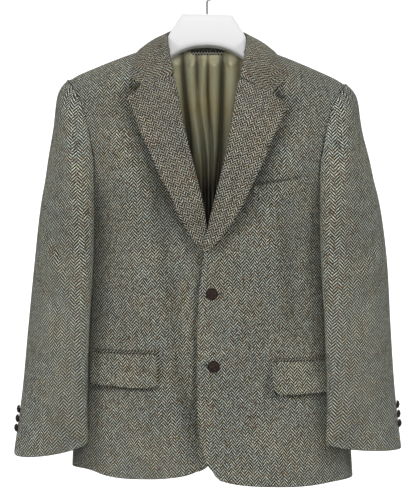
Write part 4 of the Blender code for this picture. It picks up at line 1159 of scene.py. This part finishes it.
# %% Sleeve shape
SLEEVE = table("z outer_left outer_right inner long thick twist y", [
    (-0.185, 0.240, 0.238, 0.150, 0.056, 0.042, 8, 0.002),
    (-0.250, 0.258, 0.255, 0.172, 0.072, 0.041, 14, -0.003),
    (-0.330, 0.276, 0.268, 0.186, 0.080, 0.040, 20, -0.014),
    (-0.400, 0.2905, 0.279, 0.187, 0.079, 0.038, 27, -0.030),
    (-0.480, 0.3010, 0.288, 0.190, 0.078, 0.035, 33, -0.033),
    (-0.600, 0.3080, 0.300, 0.197, 0.076, 0.031, 39, -0.038),
    (-0.700, 0.3145, 0.309, 0.200, 0.073, 0.028, 46, -0.046),
    (-0.800, 0.3250, 0.322, 0.199, 0.069, 0.023, 60, -0.055)])
CUFFS = {1: (-0.797, -0.779), -1: (-0.808, -0.775)}     # height at the outer and the inner edge
SLEEVE_SEAM_FRONT, SLEEVE_SEAM_BACK = 10, 15        # armhole rows where a seam starts
ARMHOLE_ROWS = 20       # rows once round the armhole
SLEEVE_HEAD = (0.0100, 0.024)       # most the sleeve head swells outward, and how far down
SLEEVE_LENGTH = 0.60
SLEEVE_COLUMN = 0.64    # length that the number of points down a sleeve is worked out for
SLEEVE_GIRTH = 0.46     # and round it
SLEEVE_EYE = -0.26      # height whose oval says which way the armhole's points face
SLEEVE_OFF_BODY = CLOTH + 0.007
SLEEVE_CLOTH = 0.84     # the sleeves' cloth is a little coarser across
SLEEVE_GAP = 0.00045    # from a sleeve seam to its piece


def sleeve_ring(side, spin, z):
    """The sleeve's flat oval at height z; spin runs from its back edge over the top."""
    outer = curve(SLEEVE, "z", "outer_left" if side > 0 else "outer_right", z)
    inner = curve(SLEEVE, "z", "inner", z)
    long, thick = curve(SLEEVE, "z", "long", z), curve(SLEEVE, "z", "thick", z)
    twist = np.radians(curve(SLEEVE, "z", "twist", z))
    reach = np.sqrt((long * np.sin(twist)) ** 2 + (thick * np.cos(twist)) ** 2)
    middle = outer - reach
    narrow = np.clip((outer - inner) / 2 / reach, 0.8, 1.3)
    a, b = np.cos(np.radians(spin)) * long, np.sin(np.radians(spin)) * thick
    x = middle + (1 - narrow) * reach + (a * np.sin(twist) + b * np.cos(twist)) * narrow
    y = curve(SLEEVE, "z", "y", z) + a * np.cos(twist) - b * np.sin(twist)
    return np.stack([side * x, y, z + 0 * x], axis=-1)


def clear_of_body(points, side, gap):
    """Points pushed sideways out of the body's oval."""
    z = np.minimum(points[..., 2], -0.30)
    y = points[..., 1]
    depth = np.where(y < 0, curve(BODY, "z", "front", z), curve(BODY, "z", "back", z)) + gap
    share = np.clip(np.abs(y) / depth, 0, 1) ** (1 / SQUARENESS)
    half = curve(BODY, "z", "half", z) + gap
    wide = half * np.sqrt(1 - share ** 2) ** SQUARENESS + side * curve(BODY, "z", "sway", z)
    moved = points.copy()
    need = np.maximum(side * points[..., 0], wide)
    share = blend(0.345, 0.375, -points[..., 2])
    moved[..., 0] = side * (side * points[..., 0] * (1 - share) + need * share)
    return moved


def armhole_rows(side):
    """The whole armhole as (angle, z) rows, from the shoulder forwards and round, with their spins."""
    front, under, back = armhole(side)
    rows = np.concatenate([front, under, back[::-1]])
    travelled = steps_along(form_at(rows), 0)
    return rows, 90 + 360 * travelled / travelled[-1]


def ring_middle(side, z):
    """The middle of the sleeve's oval at height z."""
    return (sleeve_ring(side, 0.0, z) + sleeve_ring(side, 180.0, z)) / 2


def sleeve_tube(side, start, end):
    """Points of a sleeve from one armhole row to another, and how far down it each row is.

    Each point is the flat oval's at its height, plus the armhole's difference from it, fading down.
    Also given are the body's outward direction at each column's start, and how squarely it butts there.
    """
    rows, spins = armhole_rows(side)
    key = {**numbered(rows), "spin": spins}

    def read(name, at):
        """A column at row numbers that may run on into a second turn."""
        return curve(key, "row", name, np.where(at > ARMHOLE_ROWS, at - ARMHOLE_ROWS, at))

    def read_spin(at):
        """The spin, a whole turn more in the second turn."""
        return read("spin", at) + np.where(at > ARMHOLE_ROWS, 360.0, 0.0)

    dense = np.linspace(start, end, 400)
    dense_spin = read_spin(dense)
    turned = dense_spin[-1] - dense_spin[0]
    width = turned / 360 * SLEEVE_GIRTH
    at = np.interp(spread(width) / width, (dense_spin - dense_spin[0]) / turned, dense)
    angle, spin = read("angle", at), read_spin(at)
    z_loop = rows[0, 1] - read("root", at) ** 2
    loop = form(angle, z_loop)
    side_way = form(angle + 0.3, z_loop) - form(angle - 0.3, z_loop)
    down_way = form(angle, z_loop - 0.002) - loop
    loop[:, 2] += tip_drop(side, loop)
    outside = unit(np.cross(side_way, down_way))
    outside = outside * np.where(np.sum(outside * loop * [1, 1, 0], axis=-1, keepdims=True) < 0, -1, 1)
    down = spread(SLEEVE_COLUMN, 0.0036) / SLEEVE_COLUMN
    cuff_out, cuff_in = CUFFS[side]
    lateral = (1 + np.cos(np.radians(spin - 45))) / 2
    cuff_z = cuff_in + (cuff_out - cuff_in) * lateral
    z = loop[None, :, 2] + down[:, None] * (cuff_z - loop[:, 2])[None]
    grid_spin = np.broadcast_to(spin, z.shape)
    free = sleeve_ring(side, grid_spin, z)
    radial = unit(sleeve_ring(side, spin, np.full_like(spin, SLEEVE_EYE)) - ring_middle(side, SLEEVE_EYE))
    facing = np.sum(radial * outside, axis=1)[:, None]
    butt = blend(-0.2, 0.4, facing)
    raised = 1 - blend(0.55, 0.95, facing)
    loop = loop + outside * raised * (CLOTH + 3 * SEAM + CLOTH * np.clip(0.6 - facing, 0, 1))
    gap = loop - sleeve_ring(side, spin, loop[:, 2])
    hold = (1 - blend(0, 0.30, down))[:, None, None]
    points = free + gap[None] * hold
    points[..., 2] = z
    fall = down[:, None] * SLEEVE_LENGTH / SLEEVE_HEAD[1]
    over_arm = np.clip(np.sin(np.radians(spin)), 0, 1)
    points[..., 0] += side * SLEEVE_HEAD[0] * fall * np.exp(1 - fall) * over_arm
    tube = clear_of_body(points, side, SLEEVE_OFF_BODY)
    tube[0] = loop
    return tube, outside, butt, down


def level_lengths(tube):
    """Length round the sleeve at each point's own height, from the column that starts highest."""
    levels = np.linspace(tube[..., 2].max(), tube[..., 2].min(), 180)
    columns = tube.transpose(1, 2, 0)
    flat = np.array([[np.interp(-levels, -z, x), np.interp(-levels, -z, y)] for x, y, z in columns])
    walked = steps_along(flat.transpose(0, 2, 1), 0)
    walked = walked - walked[np.argmax(tube[0, :, 2])]
    return np.stack([np.interp(-z, -levels, row) for (x, y, z), row in zip(columns, walked)], axis=1)


# depth and width in mm, then the path as (round the sleeve from the outer back, down it) in mm
SLEEVE_CREASES = {
    1: [(-4.0, 12, [(60, 250), (100, 285), (150, 300)]), (3.4, 14, [(50, 285), (100, 318), (160, 330)]),
        (-3.4, 12, [(40, 330), (90, 352), (150, 380)]), (-3.0, 18, [(120, 60), (150, 140), (160, 230)]),
        (3.0, 20, [(70, 80), (90, 200), (90, 300)]), (-2.4, 14, [(40, 440), (110, 470), (150, 500)]),
        (2.6, 18, [(110, 400), (120, 500), (110, 600)])],
    -1: [(-4.2, 12, [(50, 235), (100, 262), (160, 300)]), (3.4, 14, [(60, 270), (110, 300), (150, 345)]),
         (-3.0, 12, [(60, 345), (100, 362), (150, 372)]), (-3.2, 18, [(130, 50), (150, 130), (150, 220)]),
         (3.0, 20, [(80, 80), (84, 190), (80, 290)]), (-2.2, 14, [(50, 450), (100, 480), (160, 500)]),
         (2.6, 18, [(100, 400), (112, 500), (100, 600)])],
}
SLEEVE_PIECES = (("sleeve_top_", SLEEVE_SEAM_BACK, ARMHOLE_ROWS + SLEEVE_SEAM_FRONT),
                 ("sleeve_under_", SLEEVE_SEAM_FRONT, SLEEVE_SEAM_BACK))
for side in (1, -1):
    for name, start, end in SLEEVE_PIECES:
        tube, outside, butt, down = sleeve_tube(side, start, end)
        walked = steps_along(tube, 1)
        inset = np.minimum(walked, walked[:, -1:] - walked)
        toward = np.gradient(tube, axis=1)
        toward = unit(toward) * np.sign(np.linspace(1, -1, tube.shape[1]))[None, :, None]
        tube = tube + toward * (SLEEVE_GAP * (1 - blend(0, 0.002, inset)))[..., None]
        facing = across(tube)
        facing = facing * np.sign(np.sum(facing * (tube - ring_middle(side, tube[..., 2]))))
        keep = (1 - blend(0, 0.05, down))[:, None, None] * butt[None]
        facing = unit(facing * (1 - keep) + outside[None] * keep)
        place = np.stack([level_lengths(tube) * SLEEVE_CLOTH, tube[..., 2]], axis=-1)
        rows = SLEEVE_CREASES[side] if "top" in name else []
        lift = CLOTH / 2 + creases(own_place(tube), rows) * calm(tube)
        cloth(name + named(side), tube, place, lift, lit_sleeve_tweed, normals=facing)

# %% [markdown]
# ## Buttons
# Leather football buttons are woven from one strip, so their domes show bands that pass over and
# under each other. The dome is a grid in polar form with its poles closed, and the weave is added to
# its height: of the two bands that cross at a point, the one on top swells. A sphere with a picture of
# the weave would have a smooth outline. They are knotted on with a shank that hides below.

# %% Leather
def leather(name, dark, light):
    """Waxed brown leather, lighter where the bands stand proud."""
    s = Shader(name)
    place = s.in_space()
    grain = s.node("TexVoronoi", {"feature": "DISTANCE_TO_EDGE"}, {"Vector": place, "Scale": 1500.0})
    patch = s.noise(place, 260.0, 3.0, flat=False)
    base = s.colour((s.edge() * 0.75 + patch * 0.35).clamped(), dark, light)
    return s.finish(Base_Color=base, Roughness=patch * 0.22 + 0.26, Normal=s.bump(grain, 0.35, 0.0002),
                    Coat_Weight=0.10, Coat_Roughness=0.18, Specular_IOR_Level=0.22)


button_leather = leather("woven_leather", (0.0012, 0.0008, 0.0006), (0.034, 0.0135, 0.008))


def round_angles(count):
    """Angles of so many points round a ring."""
    return np.linspace(0, 2 * np.pi, count, endpoint=False)


def tube_faces(rows, cols, dome=False):
    """Quads between rings and a flat face on each end; a dome's rings run the other way round."""
    index = np.arange(rows * cols).reshape(rows, cols)
    ring = np.concatenate([index, index[:, :1]], axis=1)
    corners = ring[:-1, :-1], ring[:-1, 1:], ring[1:, 1:], ring[1:, :-1]
    order, step = ((0, 3, 2, 1), 1) if dome else ((0, 1, 2, 3), -1)
    faces = np.stack([corners[k] for k in order], axis=-1).reshape(-1, 4).tolist()
    return faces + [index[0, ::step].tolist(), index[-1, ::-step].tolist()]


DOME_SPOKES, DOME_RINGS = 72, 26
DOME_RIM, DOME_HEIGHT, BAND_HEIGHT = 0.12, 0.48, 0.20       # as shares of the button's radius
# radius and height of the rings below the rim, as shares too
DOME_UNDERSIDE = np.array([(0.94, 0.04), (0.80, 0.0), (0.35, 0.0), (0.001, 0.0)])


def dome_button(name, seat, axis, radius, turn):
    """A woven dome: height = rim + dome sqrt(1 - s^2) + band w (1 - s^6), with s the share of the radius.

    The bands are three each way. Across a band c goes from -1 to 1 and along it e does, and
    w = (1 - |c|^3)(1 - 0.55 e^2). Which of two crossing bands is on top changes like a chessboard.
    """
    axis = unit(np.array(axis, dtype=float))
    right = unit(np.cross([0.0, 0.0, 1.0], axis))
    above = np.cross(axis, right)
    t = round_angles(DOME_SPOKES)[None, :]
    share = np.sin(np.linspace(0.001, np.pi / 2, DOME_RINGS))[:, None]
    px, py = share * np.cos(t), share * np.sin(t)
    c, s = np.cos(turn), np.sin(turn)
    qx, qy = (px * c - py * s) * 1.5 + 1.5, (px * s + py * c) * 1.5 + 1.5
    cell = (np.floor(qx) + np.floor(qy)) % 2
    ax, ay = (qx % 1) * 2 - 1, (qy % 1) * 2 - 1
    along = (1 - np.abs(ax) ** 3) * (1 - 0.55 * ay ** 2)
    across_band = (1 - np.abs(ay) ** 3) * (1 - 0.55 * ax ** 2)
    weave = np.where(cell > 0.5, along, across_band)
    height = DOME_RIM + DOME_HEIGHT * np.sqrt(1 - share ** 2) + BAND_HEIGHT * weave * (1 - share ** 6)
    radii = np.concatenate([share + 0 * t, DOME_UNDERSIDE[:, :1] + 0 * t])[..., None]
    heights = np.concatenate([height, DOME_UNDERSIDE[:, 1:] + 0 * t])[..., None]
    raised = np.concatenate([weave, 0 * (DOME_UNDERSIDE[:, :1] + t)])
    t = t[..., None]
    points = seat + radius * (radii * (np.cos(t) * right + np.sin(t) * above) + heights * axis)
    made = new_piece(name + "_leather", points.reshape(-1, 3), tube_faces(*points.shape[:2], dome=True),
                     button_leather, raised.ravel())
    stand_for(made, "button_leather", name)


BUTTON_RADIUS, CUFF_BUTTON_RADIUS = 0.010, 0.0070


def front_button_seat(x, z):
    """The point and direction of a button on the left front, from nine points 4 mm apart."""
    steps = np.array([-0.004, 0, 0.004])
    x, z = np.meshgrid(x + steps, z - steps)
    base = form(angle_at(x, z), z)
    facing = outward(base)[1, 1]
    relief = front_relief(1, base)[1, 1]
    return base[1, 1] + facing * (CLOTH + SEAM + relief), facing


for name, x, z, turn in (("top", 0.0078, -0.530, 0.0), ("low", 0.0108, -0.650, -0.35)):
    seat, facing = front_button_seat(x, z)
    dome_button("button_front_" + name, seat, facing, BUTTON_RADIUS, turn)

# %% Cuff buttons and the ends of the buttonholes
# heights from the highest down; the spin round the sleeve is where its outer edge turns back
CUFF_BUTTONS = {1: (-0.7238, -0.7392, -0.7546), -1: (-0.7314, -0.7468, -0.7622)}
CUFF_BUTTON_SPIN = 22.0
HOLE_HALF_HEIGHT = 0.0011
HOLE_RINGS = np.array([(-0.0006, 1.0), (0.0002, 1.0), (0.0007, 0.75), (0.0008, 0.2)])  # rise, share of size


def buttonhole(name, x, z, length):
    """The end of a worked buttonhole: a low oval bar of dark thread beside a button."""
    seat, facing = front_button_seat(x, z)
    right = unit(np.cross(facing, [0.0, 0.0, 1.0]))
    above = np.cross(right, facing)
    t = round_angles(24)[None, :, None]
    rise, share = HOLE_RINGS.T[..., None, None]
    oval = length / 2 * np.cos(t) * right + HOLE_HALF_HEIGHT * np.sin(t) * above
    points = seat + rise * facing + share * oval
    made = new_piece("buttonhole_" + name, points.reshape(-1, 3), tube_faces(*points.shape[:2]),
                     button_leather)
    stand_for(made, "button_leather")


for side in (1, -1):
    for number, z in enumerate(CUFF_BUTTONS[side], 1):
        before, here, after = (sleeve_ring(side, CUFF_BUTTON_SPIN + turn, z) for turn in (-2, 0, 2))
        facing = unit(np.cross(after - before, [0, 0, 1.0]))
        facing = facing if np.dot(facing, here - ring_middle(side, z)) > 0 else -facing
        name = "button_cuff_%s_%d" % (named(side), number)
        dome_button(name, here + facing * (CLOTH + SEAM), facing, CUFF_BUTTON_RADIUS, 0.3 * number)
buttonhole("top", 0.0210, -0.5292, 0.0060)
buttonhole("low", -0.0025, -0.6485, 0.0050)
print("buttons: 2 of", BUTTON_RADIUS * 2000, "mm and 6 of", CUFF_BUTTON_RADIUS * 2000, "mm")

# %% [markdown]
# ## Hanger and hook
# The hanger is a plain broad one in white plastic: a square hump under the hook and two arms that
# swell towards the shoulders. Its outline is a table of top, underside and half the thickness, and each
# section is a rounded oblong, so it is smooth where the solid model has only a few flat strips.

# %% Hanger
HANGER = table("x top low half", [
    (0.0, -0.0694, -0.1234, 0.0110), (0.0208, -0.0694, -0.1254, 0.0110),
    (0.04108, -0.0696, -0.1318, 0.0110), (0.0520, -0.0860, -0.1378, 0.0110),
    (0.06136, -0.1000, -0.1440, 0.0110), (0.064688, -0.1065, -0.1465, 0.0105),
    (0.065728, -0.1195, -0.1470, 0.0100), (0.0900, -0.1279, -0.1570, 0.0120),
    (0.1200, -0.1399, -0.1680, 0.0140), (0.1600, -0.1554, -0.1850, 0.0160),
    (0.2000, -0.1718, -0.2020, 0.0170), (0.2180, -0.1796, -0.2060, 0.0150),
    (0.2240, -0.1850, -0.2020, 0.0100)])
OBLONG = 0.26           # power of each section's outline; an ellipse has 1 and a rectangle 0
UNDERSIDE_TURN = 0.0030     # how much lower the underside's back edge is than its front edge, halved


def white_plastic():
    """Satin white plastic with a faint unevenness."""
    s = Shader("white_plastic")
    cloud = s.noise(s.in_space(), 60.0, 3.0, flat=False)
    base = s.colour(cloud, (0.86, 0.86, 0.86), (0.90, 0.90, 0.90))
    return s.finish(Base_Color=base, Roughness=cloud * 0.12 + 0.30, Normal=s.bump(cloud, 0.12, 0.0004),
                    Specular_IOR_Level=0.45)


def powered(wave, power):
    """A wave from -1 to 1 squared up: its size raised to a power below 1."""
    return np.sign(wave) * np.abs(wave) ** power


x = np.concatenate([-HANGER["x"][:0:-1], HANGER["x"]])
dense = [np.linspace(a, b, 9)[:-1] if b - a > 0.002 else np.array([a]) for a, b in zip(x[:-1], x[1:])]
x = np.concatenate([*dense, x[-1:]])
top, half = (np.interp(np.abs(x), HANGER["x"], HANGER[name]) for name in ("top", "half"))
low = curve(HANGER, "x", "low", np.abs(x))
t = round_angles(40)[None, :]
y = half[:, None] * powered(np.cos(t), OBLONG)
z = ((top + low) / 2 - LEAN * x)[:, None] + ((top - low) / 2)[:, None] * powered(np.sin(t), OBLONG)
z = z - UNDERSIDE_TURN * (y / half[:, None]) * np.clip(-np.sin(t) * 1.5, 0, 1)
points = np.stack([x[:, None] + 0 * y, y, z], axis=-1)
made = new_piece("hanger_plastic", points.reshape(-1, 3), tube_faces(*points.shape[:2]), white_plastic())
stand_for(made, "hanger_white", "hanger")
print("hanger from tip to tip", round(float(np.ptp(x)) * 1000), "mm")

# %% Hook
HOOK_RADIUS, WIRE = 0.022, 0.0018       # inside of the round, and the wire's own radius
HOOK_FOOT = -0.0691     # where the stem leaves the hanger


def steel():
    """Bright wire with a fine unevenness."""
    s = Shader("hook_wire")
    streak = s.noise(s.in_space(), 700.0, 2.0, flat=False)
    return s.finish(Base_Color=s.colour(streak, (0.27, 0.27, 0.28), (0.40, 0.40, 0.41)), Metallic=1.0,
                    Roughness=streak * 0.18 + 0.20)


line = HOOK_RADIUS + WIRE
stem = [(0, 0, h) for h in np.linspace(HOOK_FOOT, -HOOK_RADIUS - line - 0.0005, 8)]
turn = np.radians(np.linspace(-68, 200, 90))
path = np.array(stem + [(line * np.cos(a), 0, -HOOK_RADIUS + line * np.sin(a)) for a in turn])
lengths = steps_along(path, 0)
even = np.linspace(0, lengths[-1], 110)
path = np.stack([np.interp(even, lengths, path[:, k]) for k in range(3)], axis=-1)
for _ in range(6):
    path[1:-1] = (path[:-2] + 2 * path[1:-1] + path[2:]) / 4
along = unit(np.gradient(path, axis=0))
beside = np.broadcast_to([0.0, 1.0, 0.0], along.shape)
over = np.cross(along, beside)
t = round_angles(20)[None, :, None]
tip = np.ones(len(path))
tip[-4:] = [0.97, 0.88, 0.68, 0.30]     # the wire's end is rounded off
ring = np.cos(t) * over[:, None] + np.sin(t) * beside[:, None]
points = path[:, None] + WIRE * tip[:, None, None] * ring
made = new_piece("hook_wire", points.reshape(-1, 3), tube_faces(*points.shape[:2]), steel())
stand_for(made, "hook_steel", "hook")
print("hook", round(2000 * HOOK_RADIUS), "mm inside, wire", round(2000 * WIRE, 1), "mm")

# %% [markdown]
# ## Floor, light and camera
# A pale floor lies below the jacket. A white world fills the shadows, weaker from below than from
# above, so that folds and undersides stay readable. Three soft lights stand in front, left, right and
# level, and one behind for the views of the back. The camera is far away with a long lens, so that
# both sleeves keep their true widths.

# %% Stage
FLOOR_Z, FLOOR_RADIUS = -1.30, 1.2
floor_paper = Shader("floor_paper").finish(Base_Color=(0.86, 0.86, 0.86), Roughness=0.9)
t = round_angles(96)
ring = np.stack([FLOOR_RADIUS * np.cos(t), FLOOR_RADIUS * np.sin(t), FLOOR_Z + 0 * t], axis=-1)
new_piece("floor", ring, [list(range(len(t)))], floor_paper)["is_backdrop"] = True

# %% World
# the backdrop's strength where the camera sees it, and else one that rises with the direction's height
AMBIENT, BACKDROP = 0.34, 1.3
DOME_RANGE = {"From Min": -0.25, "From Max": 0.75, "To Min": AMBIENT * 0.5, "To Max": AMBIENT * 1.3}
bpy.context.scene.view_settings.view_transform = "Standard"
world = bpy.data.worlds.new("studio")
bpy.context.scene.world = world
world.use_nodes = True
nodes, links = world.node_tree.nodes, world.node_tree.links
backdrop = nodes["Background"]
backdrop.inputs["Color"].default_value = (1.0, 1.0, 1.0, 1)
seen, direction = nodes.new("ShaderNodeLightPath"), nodes.new("ShaderNodeTexCoord")
height = nodes.new("ShaderNodeSeparateXYZ")
dome, level = nodes.new("ShaderNodeMapRange"), nodes.new("ShaderNodeMapRange")
level.inputs["To Max"].default_value = BACKDROP
for name, value in DOME_RANGE.items():
    dome.inputs[name].default_value = value
links.new(direction.outputs["Generated"], height.inputs[0])
links.new(height.outputs["Z"], dome.inputs["Value"])
links.new(dome.outputs["Result"], level.inputs["To Min"])
links.new(seen.outputs["Is Camera Ray"], level.inputs["Value"])
links.new(level.outputs["Result"], backdrop.inputs["Strength"])


# %% Lights and camera
def aimed(name, data, place, target):
    """A lamp or a camera at a place, turned to a target."""
    made = bpy.data.objects.new(name, data)
    made.location = place
    made.rotation_mode = "QUATERNION"
    made.rotation_quaternion = (Vector(target) - Vector(place)).to_track_quat("-Z", "Y")
    bpy.context.collection.objects.link(made)
    return made


def soft_light(name, place, target, size, power):
    """A large square light that points at a target."""
    data = bpy.data.lights.new(name, "AREA")
    data.shape, data.size, data.energy = "SQUARE", size, power
    aimed(name, data, place, target)


soft_light("left", (-2.2, -1.8, 1.2), (0, 0, -0.45), 0.8, 30)
soft_light("right", (2.2, -1.8, 1.0), (0, 0, -0.45), 0.9, 23)
soft_light("front", (0.0, -3.2, 0.35), (0, 0, -0.40), 0.9, 32)
soft_light("back", (0.6, 2.8, 1.4), (0, 0, -0.45), 1.8, 46)

PICTURE_HEIGHT, DISTANCE = 0.824, 4.5
EYE_HEIGHT = -0.15      # level with the shoulders, so the camera looks down a little at the hem
MIDDLE = (-0.0017, -0.08, -0.4590)
lens = bpy.data.cameras.new("camera")
lens.sensor_width = 36.0        # covers the picture's longer side, its height
lens.lens = lens.sensor_width / 2 / (PICTURE_HEIGHT / 2 / DISTANCE)
camera = aimed("camera", lens, (MIDDLE[0], MIDDLE[1] - DISTANCE, EYE_HEIGHT), MIDDLE)
bpy.context.scene.camera = camera
print("lens", round(lens.lens), "mm")

# %% Measure and finish
low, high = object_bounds()
print("looks box", [round(v, 4) for v in (*low, *high)])
